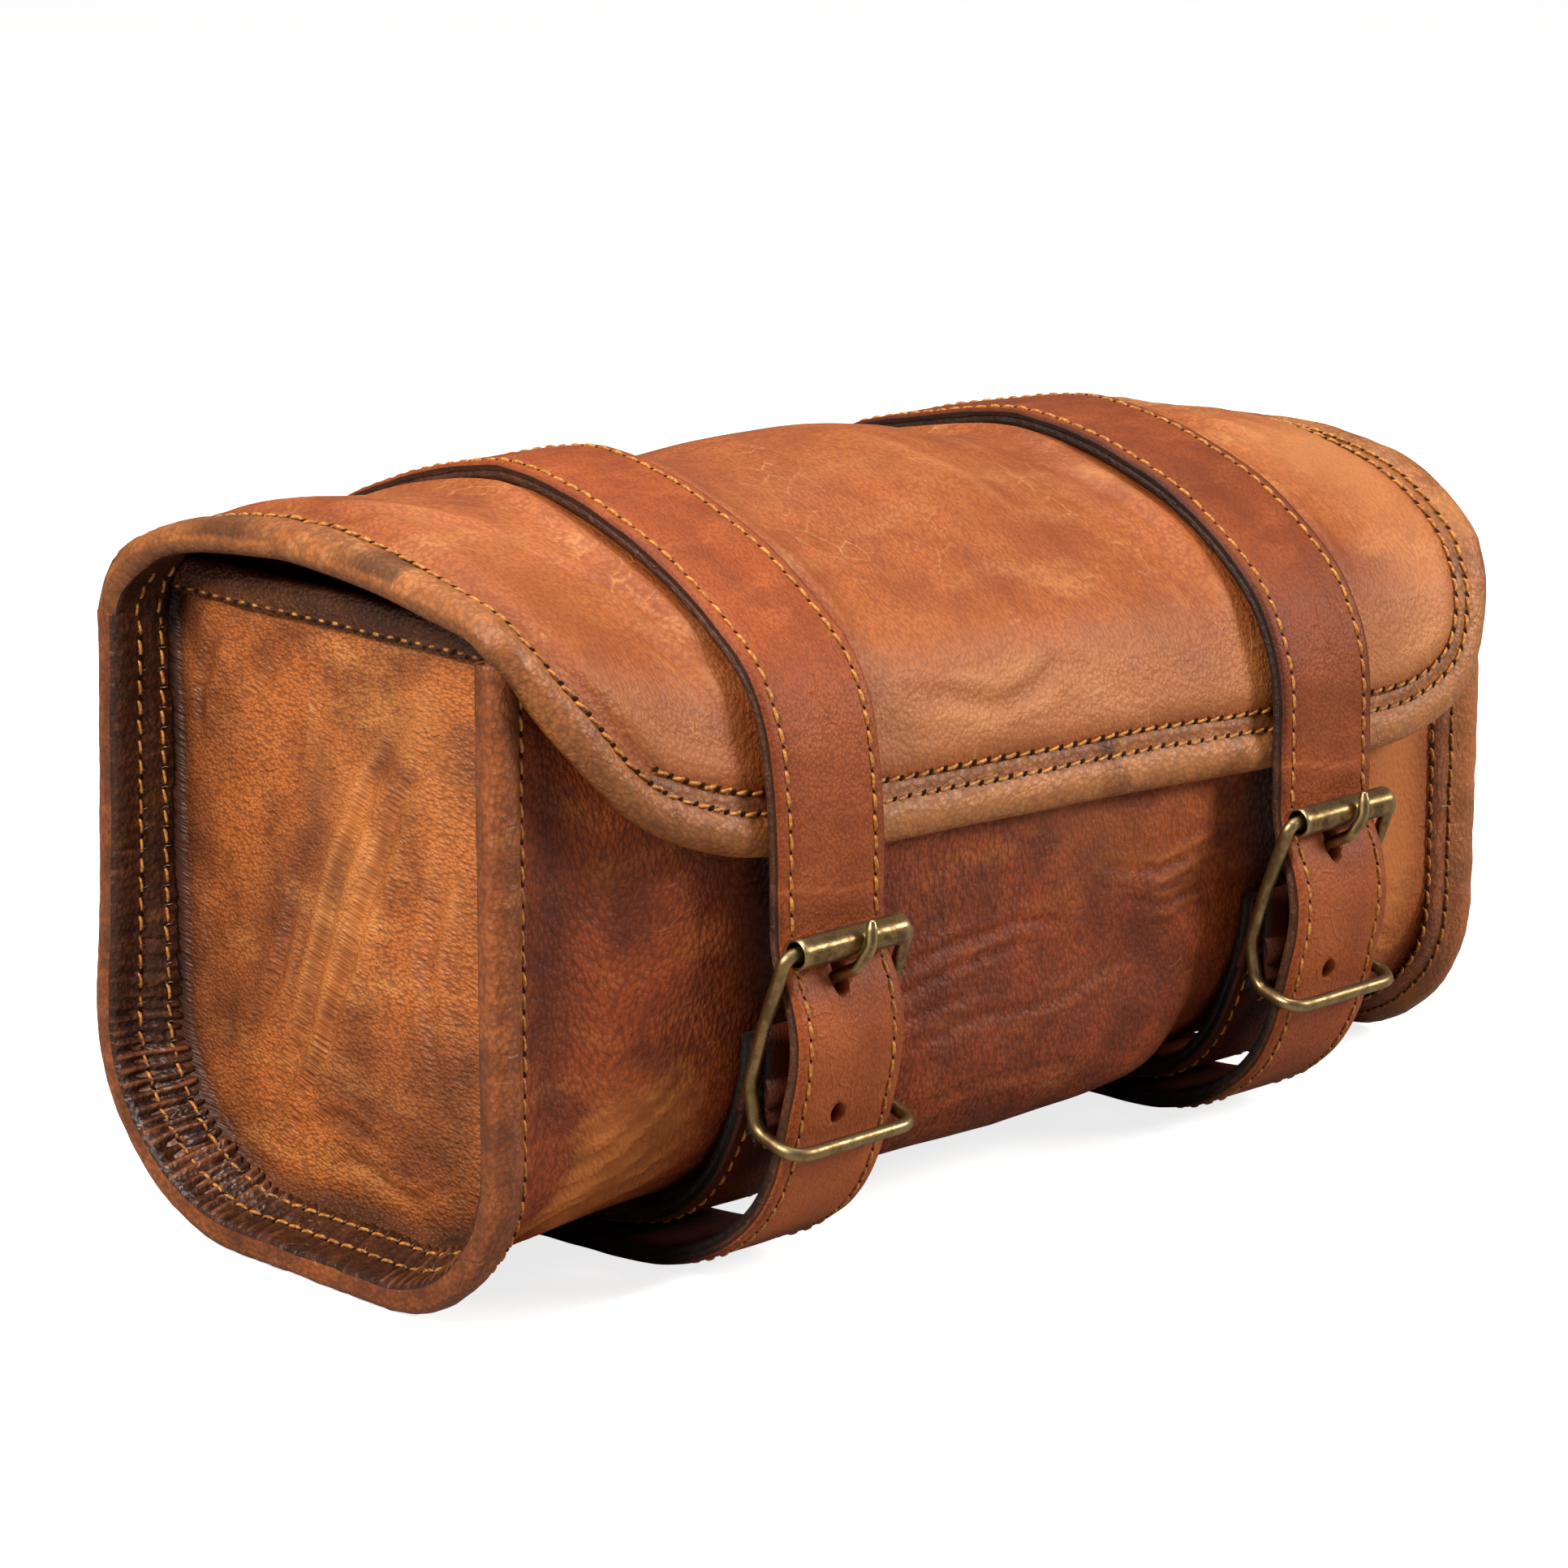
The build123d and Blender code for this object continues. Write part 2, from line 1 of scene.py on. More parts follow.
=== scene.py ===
import math

import bpy
import numpy as np
from mathutils import Matrix, Vector


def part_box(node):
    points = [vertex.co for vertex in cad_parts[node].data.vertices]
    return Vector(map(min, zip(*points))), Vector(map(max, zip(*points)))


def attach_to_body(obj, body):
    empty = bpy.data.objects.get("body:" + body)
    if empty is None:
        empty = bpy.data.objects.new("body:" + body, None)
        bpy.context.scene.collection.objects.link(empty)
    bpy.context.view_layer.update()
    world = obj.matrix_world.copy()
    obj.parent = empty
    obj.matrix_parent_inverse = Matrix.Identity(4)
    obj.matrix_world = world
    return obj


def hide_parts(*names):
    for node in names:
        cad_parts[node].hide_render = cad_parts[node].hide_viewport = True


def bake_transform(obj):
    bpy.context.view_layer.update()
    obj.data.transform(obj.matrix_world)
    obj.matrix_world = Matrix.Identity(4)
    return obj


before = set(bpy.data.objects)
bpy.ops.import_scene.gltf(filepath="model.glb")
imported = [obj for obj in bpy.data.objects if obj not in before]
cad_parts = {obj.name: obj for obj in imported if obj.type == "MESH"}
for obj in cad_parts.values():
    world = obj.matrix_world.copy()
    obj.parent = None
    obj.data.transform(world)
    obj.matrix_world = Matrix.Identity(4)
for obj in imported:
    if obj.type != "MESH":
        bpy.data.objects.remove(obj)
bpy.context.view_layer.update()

# ---------------------------------------------------------------- sizes, in millimetres
# Shapes are worked out in bag coordinates: X along the bag, Y from the end flanges' mid-plane to the back,
# and Z up from the floor.
MM = 0.001


def cad_low(node):
    return np.array(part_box(node)[0]) / MM


def cad_high(node):
    return np.array(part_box(node)[1]) / MM


def cad_centre(node):
    return (cad_low(node) + cad_high(node)) / 2


MID_Y = cad_centre("end_binding_left")[1]
HALF_LENGTH = cad_high("end_binding_right")[0]
HALF_DEPTH = cad_high("end_binding_left")[1] - MID_Y
STRAP_X = cad_centre("strap_right_front")[0]
STRAP_WIDTH = cad_high("strap_right_front")[0] - cad_low("strap_right_front")[0]
STRAP_THICKNESS = 4.0
STRAP_BEDDING = 0.4
STRAP_CLEAR = 16.0
FOLD_Y, FOLD_Z = 59.0, 134.0
MOUTH_Z = 108.0
PLATE_INSET = 15.5
PLATE_X = HALF_LENGTH - PLATE_INSET
LEATHER = 2.0
BINDING = 1.5
LIP = 1.5
# A flange is the body's leather with the end's lip inside it.
STACK = LEATHER + LIP
ROLLER = cad_centre("roller_right")[1:] - [MID_Y, 0]
CENTRE_BAR = np.array([-74.0, 43.5])
BOTTOM_BAR = np.array([-87.3, 33.0])
FRAME_HALF_WIDTH = 17.5
WIRE = 3.0
PRONG_OFFSET = -1.8
STITCH_INSET = 3.1
THREAD_PITCH = 4.3
THREAD_RADIUS = 0.37

# The body's U by distance from the middle: back, front, bottom, back corner radius and front corner radius.
BODY_STATIONS = {
    0.0: (59.0, -70.0, 8.9, 40.0, 30.0),
    40.0: (59.0, -69.3, 8.9, 40.0, 33.0),
    STRAP_X - STRAP_CLEAR: (59.0, -68.5, 8.9, 40.0, 48.0),
    STRAP_X + STRAP_CLEAR: (59.0, -68.5, 8.9, 40.0, 48.0),
    PLATE_X: (59.0, -61.5, 6.5, 40.0, 38.0),
    HALF_LENGTH - 4.0: (HALF_DEPTH - BINDING, BINDING - HALF_DEPTH, BINDING, 42.5, 35.5),
    HALF_LENGTH: (HALF_DEPTH - BINDING, BINDING - HALF_DEPTH, BINDING, 42.5, 35.5),
}

# The straps' outer line: over the lid, down the front, through the buckle and under the bag.
STRAP_TOP_LEFT = [(63.4, 126.3), (63.4, 134), (61, 141.5), (54, 148.2), (44, 152.6), (30, 157.4),
                  (14, 161.2), (0, 162.6), (-19, 159.3), (-34, 154.4), (-48, 148), (-62, 139), (-72, 130),
                  (-77.5, 119)]
STRAP_TOP_RIGHT = [(63.4, 126.3), (63.4, 134), (61, 140.5), (54, 145.5), (44, 148.4), (30, 151.2),
                   (14, 154.2), (0, 155.4), (-19, 152.8), (-34, 148.5), (-48, 142.7), (-62, 133.5),
                   (-71.5, 124.5), (-77.3, 114.5)]
STRAP_FRONT = [(-80.2, 104), (-80.8, 93), (-80.9, 82), (-81.2, 74.4), (-82.8, 68.5), (-85.2, 63),
               (-86.6, 55.5), (-86.1, 48), (-84.2, 40), (-82.4, 33), (-79.5, 24), (-74.5, 15.5), (-67, 8.5),
               (-58, 3.6), (-48, 0.8), (-38, 0)]
TAIL_END_Y = 8.0
TAIL_POINT = 14.0

# The lid's outer line by distance along the bag, from the fold over the top and down the front.
LID_UNDER_STRAP = 6.2
LID_STATIONS = {
    -HALF_LENGTH: [(60.8, 134.3), (57.8, 140), (50, 147), (36, 153), (8, 155.2), (-20, 154.3),
                   (-44, 151.8), (-61, 149), (-69, 141.5), (-70.5, 127), (-71, 105), (-71, 76)],
    -135.0: [(59, 134.3), (57, 140.5), (50, 148.5), (34, 156), (6, 160), (-22, 157),
             (-45, 150.5), (-61, 143.5), (-69.5, 133), (-72, 117), (-73, 100), (-73, 76)],
    -STRAP_X - STRAP_CLEAR: STRAP_TOP_LEFT,
    -STRAP_X + STRAP_CLEAR: STRAP_TOP_LEFT,
    0.0: [(59, 134.3), (56.3, 140.5), (48, 147), (28.5, 152.8), (2, 157.3), (-24, 152),
          (-45, 142), (-58, 133.6), (-68, 124.5), (-73.2, 112), (-74.7, 99), (-74.9, 76)],
    STRAP_X - STRAP_CLEAR: STRAP_TOP_RIGHT,
    STRAP_X + STRAP_CLEAR: STRAP_TOP_RIGHT,
    135.0: [(59, 134.3), (56, 138.5), (47, 141.8), (28, 144.5), (2, 146.3), (-22, 145),
            (-42, 139.5), (-57, 130.5), (-68, 117.5), (-71.8, 105), (-72.5, 94), (-72.5, 76)],
    HALF_LENGTH: [(60.6, 134.3), (56.3, 138.2), (46, 141.2), (28, 143), (2, 143.9), (-20, 143.8),
                  (-42.5, 140.2), (-58.5, 130.5), (-68.5, 117.5), (-71.5, 104), (-71.8, 94), (-71.8, 76)],
}
# The lid's lower edge seen from the front, from its left side to its right side.
LID_EDGE = [(-152.5, 144), (-147, 131), (-137, 118), (-127, 107.5), (-116, 100), (-104, 95.5), (-93, 92.5),
            (-70, 89.5), (-30, 88), (20, 86.5), (70, 84), (108, 82.5), (126, 85.5), (138, 92.5), (144.6, 103),
            (148.6, 116), (151.0, 124)]
LID_BINDING_WIDTH = 12.9
LID_FOLD_WIDTH = 9.0
LID_LEG = 1.3
# The lid and the back are one skin, so the lid's surface starts a little below the fold.
LID_START = 9.0
FOLD_LINE = (FOLD_Y, FOLD_Z + 0.3)
# The points of a strap's line that shape the lid under it, as many as the lid's other stations have.
UNDER_STRAP_POINTS = (2, 3, 5, 7, 8, 10, 11, 12, 13, 14, 16)


# ---------------------------------------------------------------- lines and surfaces
def left_of(line):
    """Unit directions to the left of a line's direction of travel, one at each of its points."""
    along = np.gradient(np.asarray(line, float), axis=0)
    along /= np.linalg.norm(along, axis=1)[:, None]
    return np.stack([-along[:, 1], along[:, 0]], 1)


def smooth_line(points, step, closed=False):
    """A Catmull-Rom line through the points, cut into equal steps of about the given length."""
    points = np.asarray(points, float)
    if closed:
        padded = np.concatenate([points[-1:], points, points[:2]])
    else:
        padded = np.concatenate([2 * points[:1] - points[1:2], points, 2 * points[-1:] - points[-2:-1]])
    t = np.linspace(0, 1, 24, endpoint=False)[:, None]
    runs = []
    for a, b, c, d in zip(padded, padded[1:], padded[2:], padded[3:]):
        runs.append(0.5 * (2 * b + (c - a) * t + (2 * a - 5 * b + 4 * c - d) * t ** 2
                           + (3 * b - a - 3 * c + d) * t ** 3))
    line = np.concatenate(runs + [padded[-2:-1]])
    return resample(line, step)


def at_x(x, line):
    """A line given as (y, z), put at x, which is one number or one for each of its points."""
    return np.column_stack([np.broadcast_to(x, len(line)), line])


def lengths(line):
    """Distance along a line at each of its points."""
    return np.concatenate([[0], np.cumsum(np.linalg.norm(np.diff(line, axis=0), axis=1))])


def resample(line, step):
    """The same line in equal steps of about the given length."""
    along = lengths(line)
    count = max(2, int(round(along[-1] / step)) + 1)
    return sample(line, np.linspace(0, along[-1], count))


def sample(line, places):
    """Points on a line at the given distances along it."""
    along = lengths(line)
    return np.stack([np.interp(places, along, line[:, k]) for k in range(line.shape[1])], 1)


def monotone(places, values, x):
    """Values between stations, turning smoothly and never swinging past a station's own value."""
    places = np.asarray(places, float)
    values = np.asarray(values, float)
    gap = np.diff(places).reshape((-1,) + (1,) * (values.ndim - 1))
    rise = np.diff(values, axis=0) / gap
    slope = np.zeros_like(values)
    slope[0], slope[-1] = rise[0], rise[-1]
    before, after = rise[:-1], rise[1:]
    same = before * after > 0
    total = np.where(same, before + after, 1)
    slope[1:-1] = np.where(same, 2 * before * after / total, 0)
    i = int(np.clip(np.searchsorted(places, x) - 1, 0, len(places) - 2))
    width = places[i + 1] - places[i]
    t = (x - places[i]) / width
    return ((2 * t ** 3 - 3 * t ** 2 + 1) * values[i] + (t ** 3 - 2 * t ** 2 + t) * width * slope[i]
            + (3 * t ** 2 - 2 * t ** 3) * values[i + 1] + (t ** 3 - t ** 2) * width * slope[i + 1])


def noise(u, v, seed=0):
    """Smooth noise between -1 and 1 over a plane, the same on every run."""
    u, v = np.asarray(u, float), np.asarray(v, float)
    iu, iv = np.floor(u), np.floor(v)
    fu, fv = u - iu, v - iv
    fu, fv = fu * fu * (3 - 2 * fu), fv * fv * (3 - 2 * fv)

    def corner(a, b):
        h = np.sin((iu + a) * 127.1 + (iv + b) * 311.7 + seed * 74.7) * 43758.5453
        return 2 * (h - np.floor(h)) - 1

    low = corner(0, 0) * (1 - fu) + corner(1, 0) * fu
    high = corner(0, 1) * (1 - fu) + corner(1, 1) * fu
    return low * (1 - fv) + high * fv


def bump_of(distance, width):
    """1 on a line and 0 away from it."""
    return np.exp(-(distance / width) ** 2)


def ramp(value, low, high):
    """0 below low, 1 above high, and smooth between them."""
    t = np.clip((value - low) / (high - low), 0, 1)
    return t * t * (3 - 2 * t)


def circle(count):
    """Angles round a full turn in equal steps."""
    return np.linspace(0, 2 * np.pi, count, endpoint=False)


def spots(u, v, table):
    """Round soft patches of tone, each (u, v, radius, tone)."""
    return sum(tone * bump_of(np.hypot(u - a, v - b), radius) for a, b, radius, tone in table)


def distance_to(u, v, points):
    """Distance from each place on a plane to a line drawn on it, and how far along the line it is, 0 to 1."""
    points = np.asarray(points, float)
    best = np.full(np.shape(u), 1e9)
    along = np.zeros(np.shape(u))
    for i, (a, b) in enumerate(zip(points, points[1:])):
        d = b - a
        t = np.clip(((u - a[0]) * d[0] + (v - a[1]) * d[1]) / (d @ d), 0, 1)
        far = np.hypot(u - a[0] - t * d[0], v - a[1] - t * d[1])
        closer = far < best
        best = np.where(closer, far, best)
        along = np.where(closer, (i + t) / (len(points) - 1), along)
    return best, along


def near_crease(u, v, points, width):
    """Distance from a wavering crease, and its strength, which fades towards both of its ends."""
    wobble = noise(u / 11, v / 11, len(points)) * width * 0.8
    far, along = distance_to(u, v + wobble, points)
    return far, np.sin(np.pi * np.clip(along, 0.04, 0.96)) ** 0.6


def creased(u, v, creases):
    """Height of a leather face with creases pressed into it: each is (points, width, depth)."""
    height = np.zeros(np.shape(u))
    for points, width, depth in creases:
        far, fade = near_crease(u, v, points, width)
        height += depth * fade * (0.55 * bump_of(far - 1.9 * width, width) - bump_of(far, width))
    return height


def crests(u, v, creases):
    """How strongly the leather is rubbed pale along a set of creases, 0 to 1."""
    pale = np.zeros(np.shape(u))
    broken = ramp(noise(u / 9, v / 7, 7), -0.7, 0.5)
    for points, width, _ in creases:
        far, fade = near_crease(u, v, points, width)
        pale = np.maximum(pale, fade * broken * bump_of(far - 1.9 * width, width * 0.8))
    return pale


def body_values(x):
    """The body's U at x: back, front, bottom, back corner radius and front corner radius."""
    places = sorted(BODY_STATIONS)
    return monotone(places, [BODY_STATIONS[p] for p in places], min(abs(x), HALF_LENGTH))


def u_line(x, offset, top_back, top_front, counts=(36, 26, 30, 26, 40)):
    """The U at x, moved outwards by offset: down the back, along the bottom, up the front, as (y, z)."""
    back, front, bottom, back_radius, front_radius = body_values(x)
    arc = np.linspace(0, np.pi / 2, counts[1] + 1)[:, None]
    down = np.linspace([back + offset, top_back], [back + offset, bottom + back_radius], counts[0] + 1)
    turn_centre = np.array([back - back_radius, bottom + back_radius])
    turn = turn_centre + (back_radius + offset) * np.hstack([np.cos(arc), -np.sin(arc)])
    rise_centre = np.array([front + front_radius, bottom + front_radius])
    rise = rise_centre + (front_radius + offset) * np.hstack([-np.sin(arc), -np.cos(arc)])
    floor = np.linspace(turn[-1], rise[0], counts[2] + 1)
    up = np.linspace(rise[-1], [front - offset, top_front], counts[4] + 1)
    return np.concatenate([down[:-1], turn[:-1], floor[:-1], rise[:-1], up])


def flange_lean(x, y, z):
    """How far the left flange's back leans: out near its bottom corner, in near its top."""
    share = ramp(-np.asarray(x, float), PLATE_X + 1, PLATE_X + 12)
    return share * ramp(y, 10, 45) * (3.6 * bump_of(z - 34, 32) - 1.3 * ramp(z, 90, 128))


def lid_line(x):
    """The lid's outer line at x: up the back, over the top and down the front, in steps of about 1 mm."""
    places = sorted(LID_STATIONS)
    rows = []
    for place in places:
        points = LID_STATIONS[place]
        if points in (STRAP_TOP_LEFT, STRAP_TOP_RIGHT):
            line = np.array(points + STRAP_FRONT) + LID_UNDER_STRAP * left_of(points + STRAP_FRONT)
            points = [FOLD_LINE] + [tuple(line[i]) for i in UNDER_STRAP_POINTS]
        rows.append(points)
    line = monotone(places, rows, x)
    back = body_values(x)[0]
    return smooth_line([(back, FOLD_LINE[1] - LID_START), (back, FOLD_LINE[1] - LID_START / 2), *line], 1.0)


class LidSurface:
    """The lid's outer face as a map from (x, distance from the fold) to a point and a normal."""

    def __init__(self):
        self.xs = np.arange(-HALF_LENGTH, HALF_LENGTH + 0.5, 1.0)
        self.depth = np.arange(-LID_START, 250.0)
        grid = []
        for x in self.xs:
            line = sample(lid_line(x), self.depth + LID_START)
            grid.append(at_x(x, line))
        self.grid = np.array(grid)
        x, s = np.meshgrid(self.xs, self.depth, indexing="ij")
        self.grid = self.grid - normals_of(self.grid) * self.relief(x, s)[..., None]
        self.normal = -normals_of(self.grid)

    def relief(self, x, s):
        """Soft folds in the lid's leather, and its swell where the straps press on it."""
        soft = noise(x / 34, s / 46, 3) * 0.9 + noise(x / 15, s / 24, 4) * 0.35
        clear = 1 - bump_of(np.abs(x) - STRAP_X, 22)
        beside = np.abs(np.abs(x) - STRAP_X)
        under = 1.8 * ramp(-beside, -42, -16) + 1.9 * bump_of(beside - 20.5, 3.0)
        fill = under * ramp(s, -2, 16) * ramp(-s, -148, -122)
        ends = -2.4 * ramp(np.abs(x), 128, 147) * ramp(s, 6, 30)
        full = 1.6 * ramp(-np.abs(x), -50, -20) * ramp(s, 20, 50) * ramp(-s, -125, -95)
        dent = -2.0 * bump_of(x + 125, 16) * bump_of(s - 40, 22)
        return dent + soft * ramp(s, 20, 60) * clear * 0.5 + creased(x, s, LID_CREASES) + fill + ends + full

    def look_up(self, grid, x, s):
        """A grid's values at places between its points."""
        u = np.clip(np.asarray(x, float) - self.xs[0], 0, len(self.xs) - 1.001)
        v = np.clip(np.asarray(s, float) + LID_START, 0, len(self.depth) - 1.001)
        i, j = np.floor(u).astype(int), np.floor(v).astype(int)
        a, b = (u - i)[..., None], (v - j)[..., None]
        return ((grid[i, j] * (1 - a) + grid[i + 1, j] * a) * (1 - b)
                + (grid[i, j + 1] * (1 - a) + grid[i + 1, j + 1] * a) * b)

    def point(self, x, s, height=0.0):
        """The point at a height above the lid's outer face."""
        n = self.look_up(self.normal, x, s)
        return self.look_up(self.grid, x, s) + n * np.asarray(height)[..., None]

    def normal_at(self, x, s):
        return self.look_up(self.normal, x, s)

    def distance_at_height(self, x, z):
        """Distance from the fold at which the lid's front comes down to height z."""
        places = np.arange(95.0, 249.0)
        heights = self.look_up(self.grid, np.full(len(places), x), places)[:, 2]
        below = int(np.argmax(heights < z))
        if below == 0:
            return places[0]
        high, low = heights[below - 1], heights[below]
        return places[below - 1] + (high - z) / (high - low)


def normals_of(grid):
    """Unit normals of a grid of points: the cross product of its row and column directions."""
    du, dv = np.gradient(grid, axis=(0, 1))
    n = np.cross(du, dv)
    n /= np.maximum(np.linalg.norm(n, axis=-1), 1e-9)[..., None]
    return n


LID_CREASES = [
    ([(-134, 30), (-122, 52), (-104, 70)], 2.6, 1.3),
    ([(-140, 44), (-124, 60), (-108, 74)], 2.2, 1.0),
    ([(-146, 66), (-128, 80), (-112, 96)], 2.4, 0.9),
    ([(-118, 96), (-104, 112), (-97, 134)], 2.0, 0.8),
    ([(-112, 120), (-103, 134), (-98, 146)], 1.6, 0.6),
    ([(20, 48), (34, 78), (46, 116), (54, 150)], 3.0, 0.55),
    ([(44, 70), (52, 100), (56, 130)], 2.2, 0.5),
    ([(6, 60), (18, 90), (24, 120)], 2.6, 0.25),
    ([(100, 44), (112, 70), (114, 96)], 2.6, 1.1),
    ([(118, 40), (128, 58), (130, 86)], 2.2, 1.0),
    ([(-52, 62), (-34, 56), (-10, 60)], 2.2, 0.6),
    ([(-46, 150), (-20, 156), (6, 152)], 2.4, 0.5),
]
lid = LidSurface()


# ---------------------------------------------------------------- meshes
def add_object(name, data):
    """A new object in the scene."""
    made = bpy.data.objects.new(name, data)
    bpy.context.scene.collection.objects.link(made)
    return made


def to_row(points):
    """Bag coordinates in millimetres to the row frame in metres."""
    return (np.asarray(points, float).reshape(-1, 3) + [0, MID_Y, 0]) * MM


def make_piece(name, points, faces, materials, flat=None, tone=None, face_material=None):
    """A mesh object. flat is each vertex's place on the leather in millimetres, and tone how dark it is."""
    mesh = bpy.data.meshes.new(name)
    mesh.from_pydata(to_row(points).tolist(), [], faces)
    for material in materials:
        mesh.materials.append(material)
    mesh.shade_smooth()
    loops = np.zeros(len(mesh.loops), np.int32)
    mesh.loops.foreach_get("vertex_index", loops)
    if flat is not None:
        layer = mesh.uv_layers.new(name="Flat")
        layer.uv.foreach_set("vector", np.asarray(flat, np.float32).reshape(-1, 2)[loops].ravel())
    shade = mesh.attributes.new("tone", "FLOAT", "POINT")
    values = np.zeros(len(mesh.vertices)) if tone is None else np.asarray(tone, float).ravel()
    shade.data.foreach_set("value", values.astype(np.float32))
    if face_material is not None:
        mesh.polygons.foreach_set("material_index", np.asarray(face_material, np.int32))
    mesh.update()
    return add_object(name, mesh)


def grid_faces(rows, columns, first=0, wrap_columns=False, flip=False):
    """Quads of a grid of vertices numbered row by row."""
    faces = []
    for i in range(rows - 1):
        for j in range(columns if wrap_columns else columns - 1):
            k = (j + 1) % columns
            face = [first + i * columns + j, first + i * columns + k,
                    first + (i + 1) * columns + k, first + (i + 1) * columns + j]
            faces.append(face[::-1] if flip else face)
    return faces


def make_sheet(name, outer, facing, flat, materials, thickness=LEATHER, tone=None, roll=0.45):
    """A closed leather sheet: an outer grid, an inner grid behind it and a rounded edge all round.

    facing is 1 where the grid's own normals point out of the bag and -1 where they point into it."""
    rows, columns = outer.shape[:2]
    inner = outer - normals_of(outer) * thickness * facing
    border = ([(0, j) for j in range(columns - 1)] + [(i, columns - 1) for i in range(rows - 1)]
              + [(rows - 1, j) for j in range(columns - 1, 0, -1)] + [(i, 0) for i in range(rows - 1, 0, -1)])
    rim = []
    for i, j in border:
        a = min(max(i, 1), rows - 2)
        b = min(max(j, 1), columns - 2)
        out = outer[i, j] - outer[a, b]
        out = out / max(np.linalg.norm(out), 1e-9)
        rim.append((outer[i, j] + inner[i, j]) / 2 + out * thickness * roll)
    count = rows * columns
    points = np.concatenate([outer.reshape(-1, 3), inner.reshape(-1, 3), np.array(rim)])
    faces = grid_faces(rows, columns) + grid_faces(rows, columns, first=count, flip=True)
    ends = len(border)
    for k in range(ends):
        i, j = border[k]
        m, n = border[(k + 1) % ends]
        a, b = i * columns + j, m * columns + n
        c, d = 2 * count + k, 2 * count + (k + 1) % ends
        faces.append([a, b, d, c])
        faces.append([c, d, b + count, a + count])
    if facing > 0:
        faces = [face[::-1] for face in faces]
    flat = np.asarray(flat).reshape(-1, 2)
    rim_flat = np.array([flat[i * columns + j] for i, j in border])
    tones = np.zeros((rows, columns)) if tone is None else tone
    rim_tone = np.array([tones[i, j] for i, j in border]) + 0.45
    return make_piece(name, points, faces, materials, np.concatenate([flat, flat, rim_flat]),
                      np.concatenate([tones.ravel(), tones.ravel() + 0.2, rim_tone]))


def sweep_data(rings, closed_path=False):
    """Vertices and faces of a run of closed rings, with a cap at each end unless the path closes."""
    count, size = rings.shape[:2]
    points = rings.reshape(-1, 3)
    faces = []
    for i in range(count if closed_path else count - 1):
        m = (i + 1) % count
        for j in range(size):
            k = (j + 1) % size
            faces.append([i * size + j, i * size + k, m * size + k, m * size + j])
    if not closed_path:
        faces.append(list(range(size))[::-1])
        faces.append([(count - 1) * size + j for j in range(size)])
    return points, faces


def frames_along(line, closed=False):
    """Unit directions along a line, and two more at right angles to it that never twist suddenly."""
    line = np.asarray(line, float)
    if closed:
        along = np.roll(line, -1, 0) - np.roll(line, 1, 0)
    else:
        along = np.gradient(line, axis=0)
    along /= np.linalg.norm(along, axis=1)[:, None]
    side = np.cross(along[0], [0.0, 0.0, 1.0])
    if np.linalg.norm(side) < 0.1:
        side = np.cross(along[0], [1.0, 0.0, 0.0])
    side /= np.linalg.norm(side)
    sides = []
    for direction in along:
        side = side - direction * (side @ direction)
        side = side / np.linalg.norm(side)
        sides.append(side)
    sides = np.array(sides)
    return along, sides, np.cross(along, sides)


def ring_kinds(second, count):
    """Face materials of swept rings: the second one wherever a face touches a vertex marked as having it."""
    return list((second | np.roll(second, -1)).astype(int)) * (count - 1) + [0, 0]


def tube_rings(line, radius, sides=16, flatten=1.0, closed=False, facets=0.0):
    """Rings of a wire along a line.

    flatten squeezes its second direction, and facets gives it four flat sides, like a worked wire."""
    _, a, b = frames_along(line, closed)
    angle = circle(sides)
    radius = np.broadcast_to(radius, len(line))
    rings = []
    for point, u, v, r in zip(line, a, b, radius):
        r = r * (1 + facets * np.cos(4 * angle))
        rings.append(point + np.outer(np.cos(angle) * r, u) + np.outer(np.sin(angle) * r * flatten, v))
    return np.array(rings)


def fillet_line(points, radii, step=0.6):
    """A line of straight runs with round corners, in small steps."""
    points = np.asarray(points, float)
    line = [points[0]]
    for before, corner, after, radius in zip(points, points[1:], points[2:], radii):
        a = (before - corner) / np.linalg.norm(before - corner)
        b = (after - corner) / np.linalg.norm(after - corner)
        half = math.acos(np.clip(a @ b, -1, 1)) / 2
        reach = min(radius / math.tan(half), 0.48 * np.linalg.norm(before - corner),
                    0.48 * np.linalg.norm(after - corner))
        start, end = corner + a * reach, corner + b * reach
        t = np.linspace(0, 1, 9)[:, None]
        line.extend((1 - t) ** 2 * start + 2 * t * (1 - t) * corner + t ** 2 * end)
    line.append(points[-1])
    return resample(np.array(line), step)


def joined(parts):
    """Several (points, faces) joined into one."""
    points, faces, first = [], [], 0
    for part_points, part_faces in parts:
        points.append(np.asarray(part_points).reshape(-1, 3))
        faces.extend([[first + v for v in face] for face in part_faces])
        first += len(points[-1])
    return np.concatenate(points), faces


